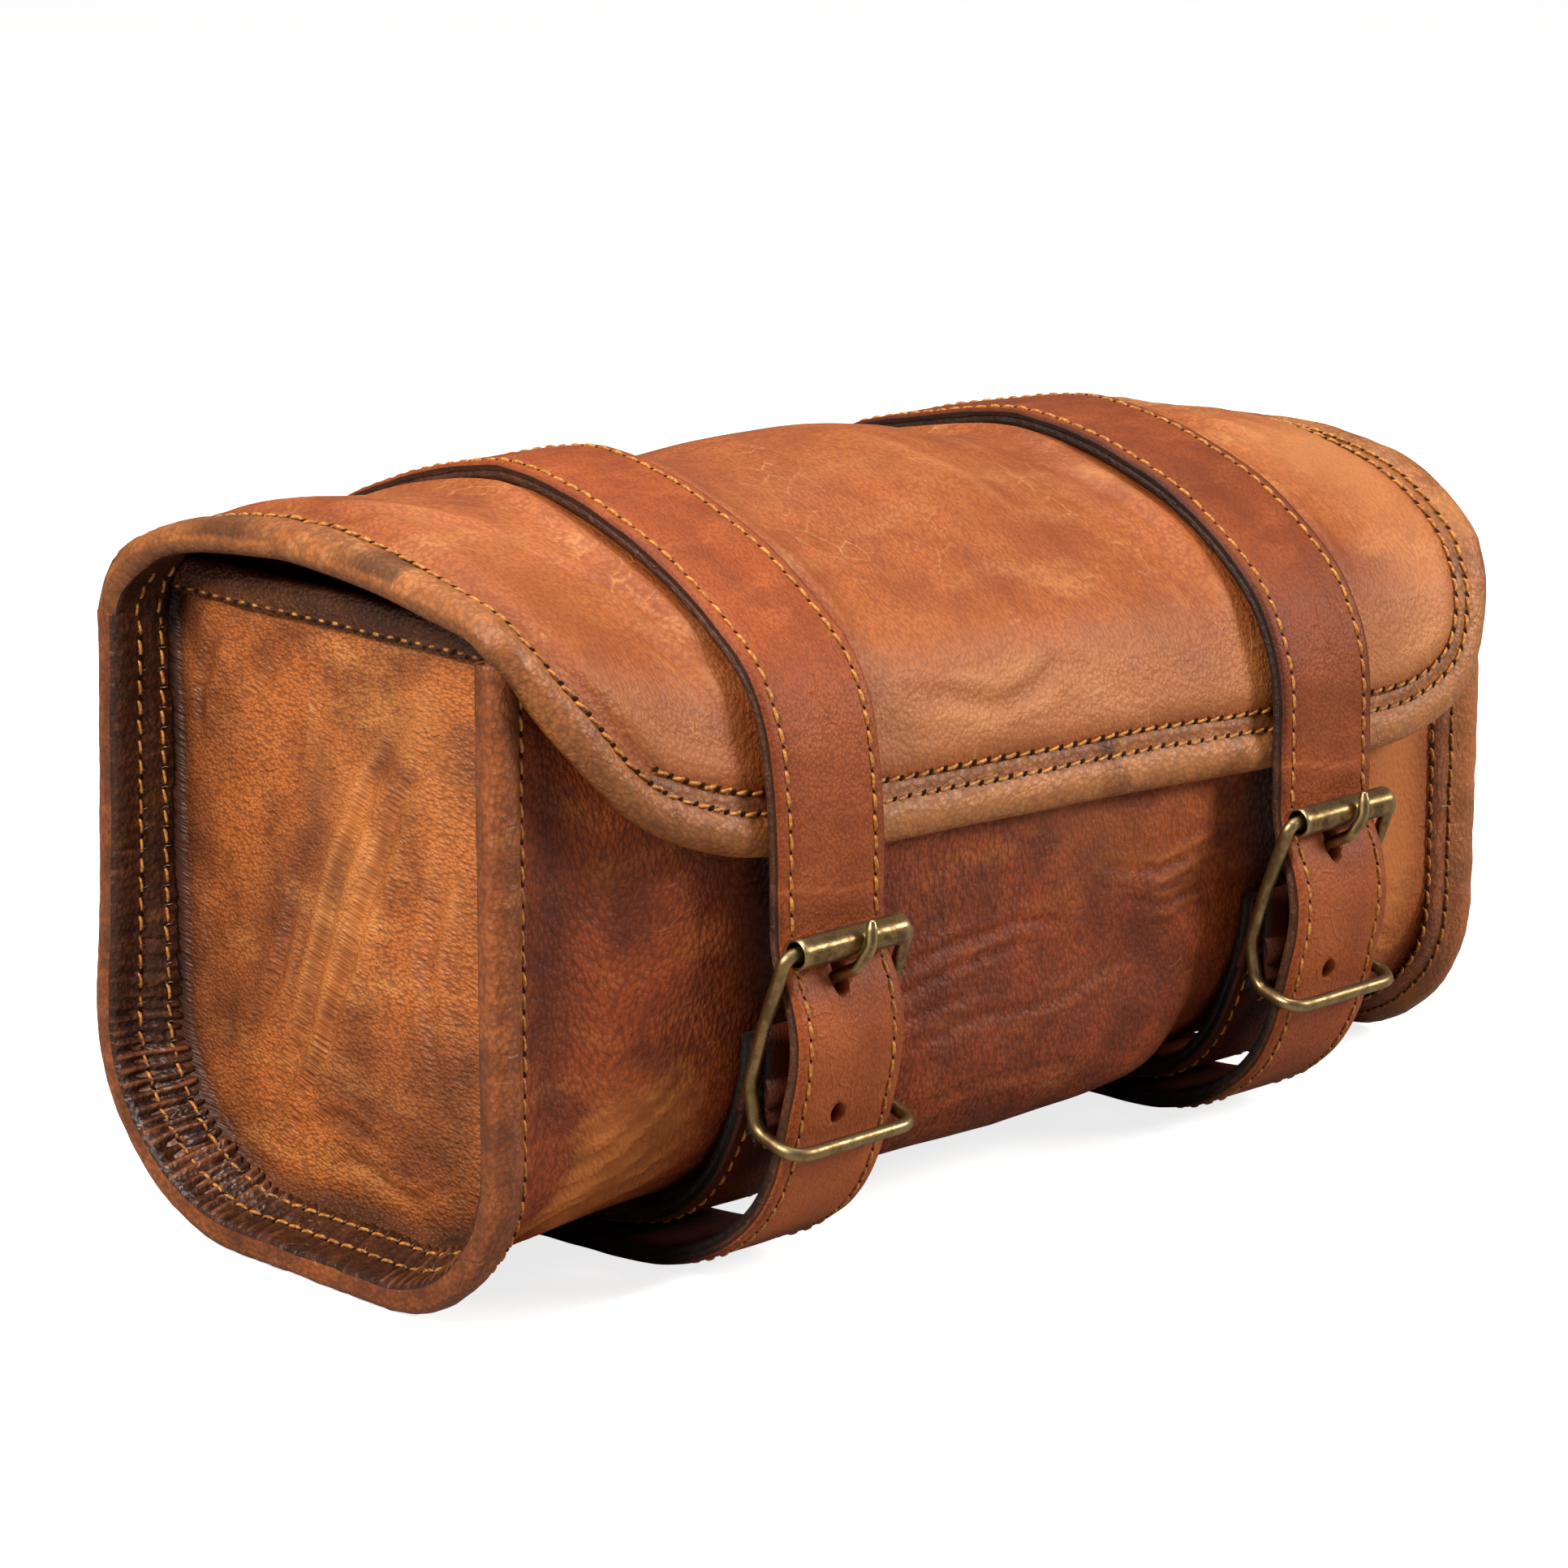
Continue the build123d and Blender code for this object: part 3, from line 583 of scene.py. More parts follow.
# ---------------------------------------------------------------- materials
class Paint:
    """A node material, with short calls for the nodes that the leathers and the brass use."""

    def __init__(self, name):
        self.made = bpy.data.materials.new(name)
        self.made.use_nodes = True
        self.tree = self.made.node_tree
        self.surface = self.tree.nodes["Principled BSDF"]

    def node(self, kind, settings=(), **inputs):
        """A node with its settings and its inputs by name, with an underscore for each space in a name."""
        made = self.tree.nodes.new(kind)
        for key, value in dict(settings).items():
            setattr(made, key, value)
        for key, value in inputs.items():
            self.give(made.inputs[key.replace("_", " ")], value)
        return made

    def give(self, socket, value):
        """Sets an input to a value, or links another node's output to it."""
        if isinstance(value, bpy.types.NodeSocket):
            self.tree.links.new(value, socket)
        else:
            socket.default_value = value

    def maths(self, operation, a, b):
        made = self.tree.nodes.new("ShaderNodeMath")
        made.operation = operation
        self.give(made.inputs[0], a)
        self.give(made.inputs[1], b)
        return made.outputs[0]

    def times(self, a, b):
        return self.maths("MULTIPLY", a, b)

    def finish(self, **inputs):
        """Sets the surface's inputs by name and gives the material back."""
        for key, value in inputs.items():
            self.give(self.surface.inputs[key.replace("_", " ")], value)
        return self.made

    def flat(self, u_scale, v_scale, turn=0.0):
        """The leather's own flat coordinates, in millimetres, divided by a size in each direction."""
        place = self.node("ShaderNodeUVMap", {"uv_map": "Flat"}).outputs["UV"]
        mapping = self.node("ShaderNodeMapping", Vector=place)
        mapping.inputs["Rotation"].default_value = (0, 0, turn)
        mapping.inputs["Scale"].default_value = (1 / u_scale, 1 / v_scale, 1)
        return mapping.outputs["Vector"]

    def solid(self, size):
        """Object coordinates divided by a size in millimetres."""
        place = self.node("ShaderNodeTexCoord").outputs["Object"]
        mapping = self.node("ShaderNodeMapping", Vector=place)
        mapping.inputs["Scale"].default_value = (1 / (size * MM),) * 3
        return mapping.outputs["Vector"]

    def noise(self, vector, detail=3.0, roughness=0.55, distortion=0.0):
        return self.node("ShaderNodeTexNoise", Vector=vector, Scale=1.0, Detail=detail, Roughness=roughness,
                         Distortion=distortion).outputs["Fac"]

    def cells(self, vector, feature="F1"):
        return self.node("ShaderNodeTexVoronoi", {"feature": feature}, Vector=vector,
                         Scale=1.0).outputs["Distance"]

    def pushed(self, vector, amount, size, detail):
        """A vector pushed about by noise of the given size."""
        push = self.node("ShaderNodeTexNoise", Vector=self.flat(size, size), Scale=1.0, Detail=detail)
        return self.mix(amount, vector, push.outputs["Color"])

    def spread(self, value, low, high, to_low=0.0, to_high=1.0):
        """A value from low to high turned smoothly into one from to_low to to_high."""
        made = self.node("ShaderNodeMapRange", {"interpolation_type": "SMOOTHSTEP"}, Value=value)
        for key, number in (("From Min", low), ("From Max", high), ("To Min", to_low), ("To Max", to_high)):
            made.inputs[key].default_value = number
        return made.outputs["Result"]

    def mix(self, amount, a, b):
        made = self.tree.nodes.new("ShaderNodeMix")
        made.data_type = "RGBA"
        self.give(made.inputs[0], amount)
        for socket, value in ((made.inputs[6], a), (made.inputs[7], b)):
            self.give(socket, value if isinstance(value, bpy.types.NodeSocket) else (*value, 1.0))
        return made.outputs[2]

    def bump(self, height, distance, strength=1.0, below=None):
        """A height in millimetres as a normal, on top of another normal."""
        made = self.node("ShaderNodeBump", Height=height, Strength=strength, Distance=distance * MM)
        if below is not None:
            self.tree.links.new(below, made.inputs["Normal"])
        return made.outputs["Normal"]

    def tone(self):
        return self.node("ShaderNodeAttribute", {"attribute_name": "tone"}).outputs["Fac"]


def leather(name, base, dark, light, grain=0.9, grain_depth=0.30, stretch=1.4, mottle=38.0,
            mottle_amount=0.75, crackle=0.35, scuff=0.35, rough=0.5, turn=0.0, wrinkle=0.4, shine=0.40):
    """Waxed full-grain leather: mottled colour, pebble grain, fine pale cracks, scuffs and painted tone.

    Lengths are in millimetres. tone runs from -1, light, to 1, almost black: it carries wear and dirt, and
    also painted shade and painted highlights."""
    paint = Paint(name)
    broad = paint.noise(paint.flat(mottle, mottle * 1.2), detail=3, distortion=0.4)
    near = paint.noise(paint.flat(mottle / 3.2, mottle / 3.0), detail=5, roughness=0.62)
    patches = paint.maths("ADD", paint.times(broad, 0.6), paint.times(near, 0.4))
    colour = paint.mix(paint.times(paint.spread(patches, 0.60, 0.36), mottle_amount), base, dark)
    streaks = paint.noise(paint.flat(mottle * 0.8, mottle * 0.3, turn + 0.5), detail=6)
    rubbed = paint.spread(streaks, 0.5, 0.74)
    colour = paint.mix(paint.times(rubbed, scuff), colour, light)
    # Fine pale cracks, only in some patches.
    bent = paint.pushed(paint.flat(4.2, 5.5, turn), 0.35, 5.0, 3.0)
    crack = paint.spread(paint.cells(bent, "DISTANCE_TO_EDGE"), 0.05, 0.0)
    where = paint.spread(paint.noise(paint.flat(24.0, 30.0), detail=4), 0.48, 0.66)
    crack = paint.times(crack, where)
    colour = paint.mix(paint.times(crack, crackle), colour, light)
    # Pebble grain: dark between the pebbles, and rubbed on top of them.
    pebble = paint.cells(paint.pushed(paint.flat(grain, grain * stretch, turn), 0.18, 3.0, 2.0))
    fine = paint.noise(paint.flat(0.45, 0.55), detail=3)
    colour = paint.mix(paint.times(paint.spread(pebble, 0.32, 0.78), 0.55), colour, dark)
    colour = paint.mix(paint.spread(fine, 0.52, 0.8, 0.0, 0.25), colour, light)
    tone = paint.tone()
    # tone paints darkness for dirt and painted shade, and lightness for wear and painted highlights.
    colour = paint.mix(paint.spread(tone, 0.0, 1.0), colour, tuple(c * 0.25 for c in dark))
    colour = paint.mix(paint.spread(tone, 0.0, -1.0), colour, light)
    gloss = paint.maths("ADD", paint.times(near, 0.20), paint.times(pebble, 0.16))
    creases = paint.noise(paint.flat(6.0, 2.6, turn), detail=5, roughness=0.62, distortion=0.9)
    normal = paint.bump(creases, 0.9, wrinkle)
    normal = paint.bump(crack, 0.25, 0.6, normal)
    normal = paint.bump(paint.maths("SUBTRACT", 1.0, pebble), grain_depth, 1.0, normal)
    return paint.finish(Base_Color=colour, Roughness=paint.maths("ADD", gloss, rough - 0.16),
                        Specular_IOR_Level=shine, Normal=paint.bump(fine, 0.09, 0.9, normal))


def brass(name):
    """Antique brass: worn bright on the high spots, dull and dark elsewhere, with fine scratches."""
    paint = Paint(name)
    cloud = paint.noise(paint.solid(3.2), detail=5, roughness=0.65)
    speck = paint.noise(paint.solid(0.55), detail=3)
    colour = paint.mix(paint.spread(cloud, 0.36, 0.62), (0.085, 0.050, 0.022), (0.27, 0.175, 0.075))
    colour = paint.mix(paint.spread(speck, 0.56, 0.72, 0.0, 0.7), colour, (0.06, 0.036, 0.018))
    worn = paint.spread(paint.node("ShaderNodeNewGeometry").outputs["Pointiness"], 0.5, 0.56)
    colour = paint.mix(paint.times(worn, 0.55), colour, (0.52, 0.38, 0.18))
    normal = paint.bump(speck, 0.03, 0.7, paint.bump(cloud, 0.12, 0.5))
    return paint.finish(Base_Color=colour, Metallic=1.0, Roughness=paint.spread(cloud, 0.3, 0.7, 0.5, 0.3),
                        Normal=normal)


def thread_paint(name, base, dark):
    """Waxed thread, with its twist."""
    paint = Paint(name)
    fleck = paint.noise(paint.solid(0.9), detail=3)
    twist = paint.noise(paint.solid(0.22), detail=2)
    return paint.finish(Base_Color=paint.mix(paint.spread(fleck, 0.38, 0.66), dark, base), Roughness=0.55,
                        Normal=paint.bump(twist, 0.06, 0.8))


def dark_paint(name, colour):
    """Painted shade for a needle hole: the dark of its inside."""
    paint = Paint(name)
    fleck = paint.noise(paint.solid(0.4), detail=2)
    return paint.finish(Base_Color=paint.mix(fleck, colour, tuple(c * 2.2 for c in colour)), Roughness=0.95,
                        Specular_IOR_Level=0.05)


BODY_LEATHER = leather("leather_body", (0.335, 0.060, 0.011), (0.100, 0.015, 0.004), (0.56, 0.175, 0.036),
                       grain=0.8, stretch=1.5, mottle=30, mottle_amount=0.85, crackle=0.3, scuff=0.35,
                       rough=0.52, turn=0.5, shine=0.28)
LID_LEATHER = leather("leather_lid", (0.385, 0.101, 0.022), (0.19, 0.038, 0.009), (0.60, 0.25, 0.082),
                      grain=0.75, stretch=1.2, grain_depth=0.18, mottle=46, mottle_amount=0.7, crackle=0.6,
                      scuff=0.45, rough=0.48, wrinkle=0.35, shine=0.30)
END_LEATHER = leather("leather_end", (0.51, 0.136, 0.024), (0.11, 0.024, 0.006), (0.78, 0.30, 0.075),
                      grain=0.95, stretch=0.62, grain_depth=0.42, mottle=48, mottle_amount=0.9, crackle=0.1,
                      scuff=0.60, rough=0.44, turn=0.1, wrinkle=0.5)
STRAP_LEATHER = leather("leather_strap", (0.34, 0.074, 0.015), (0.17, 0.030, 0.007), (0.54, 0.148, 0.038),
                        grain=0.55, stretch=1.3, grain_depth=0.14, mottle=26, mottle_amount=0.6, crackle=0.15,
                        scuff=0.35, rough=0.50, wrinkle=0.2, shine=0.24)
BINDING_LEATHER = leather("leather_binding", (0.40, 0.130, 0.031), (0.15, 0.045, 0.012), (0.62, 0.28, 0.09),
                          grain=0.9, stretch=1.2, grain_depth=0.2, mottle=16, mottle_amount=0.6, crackle=0.1,
                          scuff=0.4, rough=0.44)
FLANGE_LEATHER = leather("leather_flange_binding", (0.33, 0.086, 0.019), (0.10, 0.024, 0.007),
                         (0.56, 0.20, 0.055), grain=0.8, stretch=1.3, grain_depth=0.2, mottle=18,
                         mottle_amount=0.7, crackle=0.15, scuff=0.4, rough=0.40)
# The bindings' inner faces and under sides: darker leather, made darker still as painted shade.
INNER_LEATHER = leather("leather_inner_band", (0.070, 0.020, 0.007), (0.020, 0.006, 0.003),
                        (0.30, 0.10, 0.036), grain=0.9, stretch=1.2, grain_depth=0.25, mottle=12,
                        mottle_amount=0.7, crackle=0.15, scuff=0.45, rough=0.36)
EDGE_LEATHER = leather("leather_cut_edge", (0.11, 0.032, 0.010), (0.030, 0.009, 0.004), (0.30, 0.11, 0.04),
                       grain=0.5, stretch=3.0, grain_depth=0.2, mottle=6, rough=0.55, wrinkle=0.5)
BRASS = brass("antique_brass")
THREAD = thread_paint("golden_thread", (0.64, 0.27, 0.040), (0.30, 0.105, 0.018))
FRAYED = thread_paint("frayed_fibre", (0.50, 0.38, 0.26), (0.30, 0.20, 0.12))
# Needle holes are dark lenses on the leather: painted shade for the holes.
HOLE = dark_paint("needle_hole", (0.016, 0.007, 0.004))


# ---------------------------------------------------------------- riding on the bodies
# How far a strap lies outside the lid's leather.
STRAP_OUT = 4.6


def on_body(piece, body, slot, *nodes):
    """The piece moves with one body."""
    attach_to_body(piece, body)
    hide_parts(*nodes)


def with_bag(piece, slot, *nodes):
    """The piece stays with the bag."""
    on_body(piece, "bag", slot, *nodes)


def bend_with_lid(piece):
    """The piece's place is baked into its mesh; out, how far outside the lid's leather it lies, is not used.
    """
    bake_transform(piece)


def with_lid(piece, slot, *nodes, out=0.0):
    """The piece's place is baked into its mesh, and the CAD parts it stands for are hidden."""
    bend_with_lid(piece)
    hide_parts(*nodes)


# ---------------------------------------------------------------- thread
def thread_template():
    """One stitch lying along X, 1 long: a thread that dips into the leather at both ends."""
    rings = []
    angle = circle(7)
    for t in np.linspace(-0.5, 0.5, 8):
        swell = math.sqrt(max(0.0, 1 - (2 * t) ** 4)) * 0.85 + 0.15
        lift = 0.55 - 2.6 * (2 * t) ** 4
        rings.append([(t, math.cos(a) * swell, math.sin(a) * swell + lift) for a in angle])
    return sweep_data(np.array(rings))


def hole_template():
    """A needle's slit: a low lens, 1 long, dark with painted shade."""
    rings = []
    angle = circle(8)
    for t in (-0.5, -0.35, 0.0, 0.35, 0.5):
        swell = math.sqrt(max(0.02, 1 - (2 * t) ** 2))
        rings.append([(t, math.cos(a) * swell, math.sin(a) * swell) for a in angle])
    return sweep_data(np.array(rings))


THREAD_SHAPE = thread_template()
HOLE_SHAPE = hole_template()
# Stitches wander off their row by up to this much, and the needle's slits stand at an angle to it.
STITCH_DRIFT = 0.22
SLIT_TURN = 0.55
SLIT_HEIGHT = 0.16


def stitch_parts(line, normals, pitch=THREAD_PITCH, cover=0.95, radius=THREAD_RADIUS, slant=0.16, seed=1,
                 hole_size=(1.3, 0.36)):
    """Stitches and needle holes along a line on a face, as two lists of (points, faces).

    cover is the share of the pitch that a thread takes, and hole_size a hole's length and half its width."""
    along = lengths(line)
    count = int(along[-1] / pitch)
    start = (along[-1] - count * pitch) / 2
    middles = start + (np.arange(count) + 0.5) * pitch
    centres = sample(line, middles)
    ahead = sample(line, middles + pitch * 0.5)
    behind = sample(line, middles - pitch * 0.5)
    ups = np.stack([np.interp(middles, along, normals[:, k]) for k in range(3)], 1)
    ups /= np.linalg.norm(ups, axis=1)[:, None]
    drift = noise(middles / 9.0, seed, seed)
    threads, holes = [], []
    for i in range(count):
        tangent = ahead[i] - behind[i]
        tangent /= np.linalg.norm(tangent)
        up = ups[i]
        side = np.cross(up, tangent)
        angle = slant + 0.10 * noise(i * 1.7, seed * 3.1, seed)
        forward = tangent * math.cos(angle) + side * math.sin(angle)
        across = np.cross(up, forward)
        basis = np.stack([forward, across, up])
        centre = centres[i] + side * drift[i] * STITCH_DRIFT
        fat = radius * (1 + 0.18 * noise(i * 2.3, seed * 5.7, seed))
        size = np.array([pitch * cover, fat, fat])
        threads.append((THREAD_SHAPE[0] * size @ basis + centre, THREAD_SHAPE[1]))
        lean = slant + SLIT_TURN
        slit = tangent * math.cos(lean) + side * math.sin(lean)
        slit_basis = np.stack([slit, np.cross(up, slit), up])
        size = np.array([*hole_size, SLIT_HEIGHT])
        place = centres[i] - tangent * pitch * 0.5 + side * drift[i] * STITCH_DRIFT
        holes.append((HOLE_SHAPE[0] * size @ slit_basis + place, HOLE_SHAPE[1]))
    return threads, holes


def sew(name, rows, attach, pitch=THREAD_PITCH, **style):
    """One piece of thread and one of needle holes for a set of rows, each (line, normals)."""
    threads, holes = [], []
    for k, (line, normals) in enumerate(rows):
        row_threads, row_holes = stitch_parts(line, normals, pitch, seed=k + 1, **style)
        threads += row_threads
        holes += row_holes
    for kind, parts, material in (("thread", threads, THREAD), ("needle_holes", holes, HOLE)):
        points, faces = joined(parts)
        piece = make_piece(f"{kind}_{name}", points, faces, [material])
        attach(piece)


def thread_on_bag(piece):
    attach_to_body(piece, "bag")


def thread_on_lid(piece):
    bend_with_lid(piece)


def thread_on_strap(piece):
    bend_with_lid(piece)


# ---------------------------------------------------------------- body
BODY_CREASES = [
    ([(-146, 15), (-134, 24), (-118, 32), (-102, 44)], 1.5, 1.9),
    ([(-146, 22), (-132, 30), (-116, 38), (-106, 48)], 1.2, 1.4),
    ([(-144, 10), (-126, 18), (-108, 24), (-98, 32)], 1.4, 1.2),
    ([(-140, 34), (-128, 40), (-114, 44)], 1.0, 0.9),
    ([(-62, 61), (-48, 58), (-30, 62), (-10, 63), (4, 60)], 1.2, 1.0),
    ([(-62, 55), (-44, 53), (-26, 57), (-8, 58)], 1.0, 0.9),
    ([(-58, 50), (-40, 48), (-20, 51)], 0.9, 0.6),
    ([(-56, 38), (-30, 44), (0, 43), (26, 50)], 1.3, 0.6),
    ([(-54, 24), (-22, 29), (12, 27)], 1.5, 0.5),
    ([(16, 71), (34, 66), (56, 69)], 1.2, 0.7),
    ([(20, 62), (38, 58), (58, 60)], 1.0, 0.5),
    ([(98, 50), (112, 44), (128, 43)], 1.2, 1.2),
    ([(96, 38), (112, 36), (130, 30)], 1.2, 1.2),
    ([(96, 30), (110, 26), (126, 20)], 1.2, 1.0),
]
# The height of the body's and the flanges' top edge, at each side's back and front.
LEFT_TOP_BACK, LEFT_TOP_FRONT = 131.2, 139.0
RIGHT_TOP_BACK, RIGHT_TOP_FRONT = 131.5, 106.0
# The height of the front panel's top edge along the bag: it drops to the mouth between the ends.
FRONT_TOPS = [(-HALF_LENGTH, LEFT_TOP_FRONT), (-146, LEFT_TOP_FRONT), (-141, 138), (-118, MOUTH_Z),
              (128, MOUTH_Z), (136, RIGHT_TOP_FRONT), (HALF_LENGTH, RIGHT_TOP_FRONT)]


def body_relief(x, y, z, front):
    """Waves and creases in the body's leather, and its step down where the lid laps it at the back."""
    waves = noise(x / 30, (z + y) / 24, 11) * 0.8 + noise(x / 12, (z - y) / 10, 12) * 0.35
    inside = ramp(PLATE_X - np.abs(x), 0, 14)
    lap = ramp(y, 20, 45) * ramp(z, 104, 121)
    return (waves * 0.7 + creased(x, z, BODY_CREASES) * front) * inside * (1 - lap) - 0.35 * lap


def body_tone(x, y, z, front):
    """Darker along the bottom and by the flanges, painted shadow beside the straps, pale on the crests and at
    the right.
    """
    # Darker along the bottom and beside the end flanges.
    low_and_flanges = 0.12 * ramp(-np.abs(y + 15), -40, -10) + 0.35 * bump_of(np.abs(x) - PLATE_X, 7)
    cloudy = 0.22 * ramp(noise(x / 26, z / 22, 5), 0.1, 0.9)
    right = -0.7 * ramp(x, 92, 120)
    left = -0.5 * ramp(-np.abs(x + 115), -28, -8) * ramp(-z, -62, -36)
    left += spots(x, z, [(-118, 84, 24, 0.2)])
    # Painted shadow that each strap casts on the body beside it.
    strap_shadow = 0.75 * (bump_of(x + STRAP_X + 3, 13) + bump_of(x - STRAP_X + 3, 12))
    rubbed = -(0.42 + 0.35 * ramp(-x, 88, 100)) * crests(x, z, BODY_CREASES)
    middle = -0.35 * bump_of(np.hypot((x - 22) / 1.6, z - 82), 24)
    middle += 0.30 * bump_of(np.hypot((x + 30) / 1.3, z - 74), 18)
    middle += spots(x, z, [(20, 40, 26, 0.25)])
    return low_and_flanges + (cloudy + right + left + strap_shadow + rubbed + middle) * front


def make_body():
    """One sheet of leather for the front, the bottom and the back, flared into the two flanges."""
    counts = (44, 34, 36, 38, 56)
    front_corner = sum(counts[:3]) + 4
    reach = HALF_LENGTH - 1.2
    xs = np.linspace(-reach, reach, 225)
    rows = []
    for x in xs:
        top_front = np.interp(x, *zip(*FRONT_TOPS))
        top_back = LEFT_TOP_BACK if x < 0 else RIGHT_TOP_BACK
        line = u_line(x, 0, top_back, top_front, counts)
        line[:, 0] += flange_lean(x, line[:, 0], line[:, 1])
        rows.append(at_x(x, line))
    grid = np.array(rows)
    x, y, z = grid[..., 0], grid[..., 1], grid[..., 2]
    front = ramp(-y, 20, 45)
    grid = grid + normals_of(grid) * body_relief(x, y, z, front)[..., None]
    along = np.cumsum(np.linalg.norm(np.diff(grid, axis=1, prepend=grid[:, :1]), axis=-1), axis=1)
    flat = np.stack([x, along - along[:, front_corner, None]], -1)
    piece = make_sheet("body_leather", grid, 1, flat, [BODY_LEATHER, LID_LEATHER],
                       tone=body_tone(x, y, z, front))
    # The back is one skin with the lid, and has its leather.
    centres = np.array([polygon.center for polygon in piece.data.polygons]) / MM - [0, MID_Y, 0]
    piece.data.polygons.foreach_set("material_index", (centres[:, 1] > 24).astype(np.int32))
    with_bag(piece, "leather_body", "body_panel")


def make_mouth_binding():
    """A folded strip over the front panel's top edge, under the lid."""
    reach = 113
    xs = np.linspace(-reach, reach, 90)
    leg, width, inside = 1.2, 12.0, LEATHER
    profile = [(-leg, -width), (-leg, -1.0), (-leg * 0.6, 0.4), (inside / 2, leg), (inside + leg * 0.6, 0.4),
               (inside + leg, -1.0), (inside + leg, -width), (inside + 0.05, -width), (inside + 0.05, -0.3),
               (-0.05, -0.3), (-0.05, -width)]
    rings = []
    for x in xs:
        front = body_values(x)[1]
        depth = 1 - 0.62 * ramp(-x, 90, 108)
        rings.append([(x, front + y, MOUTH_Z + z * depth) for y, z in profile])
    points, faces = sweep_data(np.array(rings))
    flat = [(p[0], p[1] + p[2]) for p in points]
    piece = make_piece("mouth_binding_leather", points, faces, [BINDING_LEATHER], flat)
    with_bag(piece, "leather_binding", "mouth_binding")
    line = np.array([(x, body_values(x)[1] - leg - 0.02, MOUTH_Z - 9.0) for x in np.linspace(-96, 112, 120)])
    sew("mouth", [(line, np.tile([0.0, -1.0, 0.0], (len(line), 1)))], thread_on_bag)


# ---------------------------------------------------------------- ends
END_CREASES = [
    ([(26, 24), (12, 50), (2, 78), (-10, 104), (-22, 122)], 1.8, 1.0),
    ([(20, 20), (6, 46), (-6, 74), (-18, 100), (-30, 116)], 1.6, 0.9),
    ([(34, 38), (20, 60), (12, 84)], 1.6, 0.7),
    ([(-30, 40), (-26, 70), (-34, 100)], 2.0, 0.5),
    ([(40, 128), (46, 116), (48, 100)], 1.8, 0.8),
    ([(36, 112), (26, 118), (18, 126)], 1.2, 0.6),
    ([(20, 24), (6, 30), (-12, 27)], 1.8, 0.9),
    ([(12, 18), (-4, 22), (-20, 18), (-34, 24)], 1.4, 0.7),
    ([(10, 134), (8, 120), (9, 106)], 0.5, 0.7),
    ([(2, 134), (3, 118)], 0.5, 0.6),
    ([(-6, 134), (-4, 122)], 0.5, 0.6),
]
END_SPOTS = [(36, 40, 24, 0.34), (-4, 26, 18, 0.42), (24, 82, 16, 0.2), (10, 104, 20, -0.22),
             (40, 108, 14, 0.26), (-40, 40, 20, 0.3), (-18, 121, 0.9, 0.9), (-4, 117, 0.8, 0.8)]
# The height of each end's top edge, at its back and at its front.
END_TOPS = {-1: (142.2, 142.2), 1: (133.0, 118.0)}
# The end turns outwards in this radius, and its lip then runs out to these distances from the plate. At the
# back the lip's top drops to this height, under the lid.
LIP_TURN = 3.5
LIP_REACHES = (LIP_TURN + 0.2, 7.0, 9.5, 12.0)
LIP_TOP = 130.5
HEM_WIDTH = 7.6


def end_outline(side, x, offset, drop=0.0, count=210):
    """The end's outline inside the U at x, as (y, z) points closed across the top, and how many lie on the U.

    drop lowers the top of the U's back, so that the lip ends under the lid."""
    top_back, top_front = END_TOPS[side]
    u = u_line(side * x, offset, top_back - drop, top_front)
    u[:, 0] += flange_lean(side * x, u[:, 0], u[:, 1])
    u = sample(u, np.linspace(0, lengths(u)[-1], count))
    across = np.linspace(u[-1], [u[0, 0], top_back], 60)[1:-1]
    return np.concatenate([u, across]), count


def end_tone(y, z, edge):
    """Painted shade round the edge where the plate turns into its lip, painted shadow of the lid under the
    hem, dark in the corners, pale on the crests and across the belly.
    """
    # Painted shade in the recess round the plate's edge, and random patches.
    tone = 0.6 * bump_of(edge, 5.0) + 0.22 * ramp(noise(y / 17, z / 21, 31), 0.0, 0.8)
    tone += spots(y, z, END_SPOTS) - 0.30 * bump_of(np.hypot(y + 34, (z - 85) / 1.7), 20)
    tone -= 0.24 * crests(y, z, END_CREASES)
    tone -= 0.26 * bump_of(distance_to(y, z, [(20, 34), (0, 72), (-28, 124)])[0], 11.0)
    # Painted shadow of the lid, darkest at the top under the hem.
    return tone + 0.30 * ramp(z, 118, 134) * ramp(y, -58, 30)


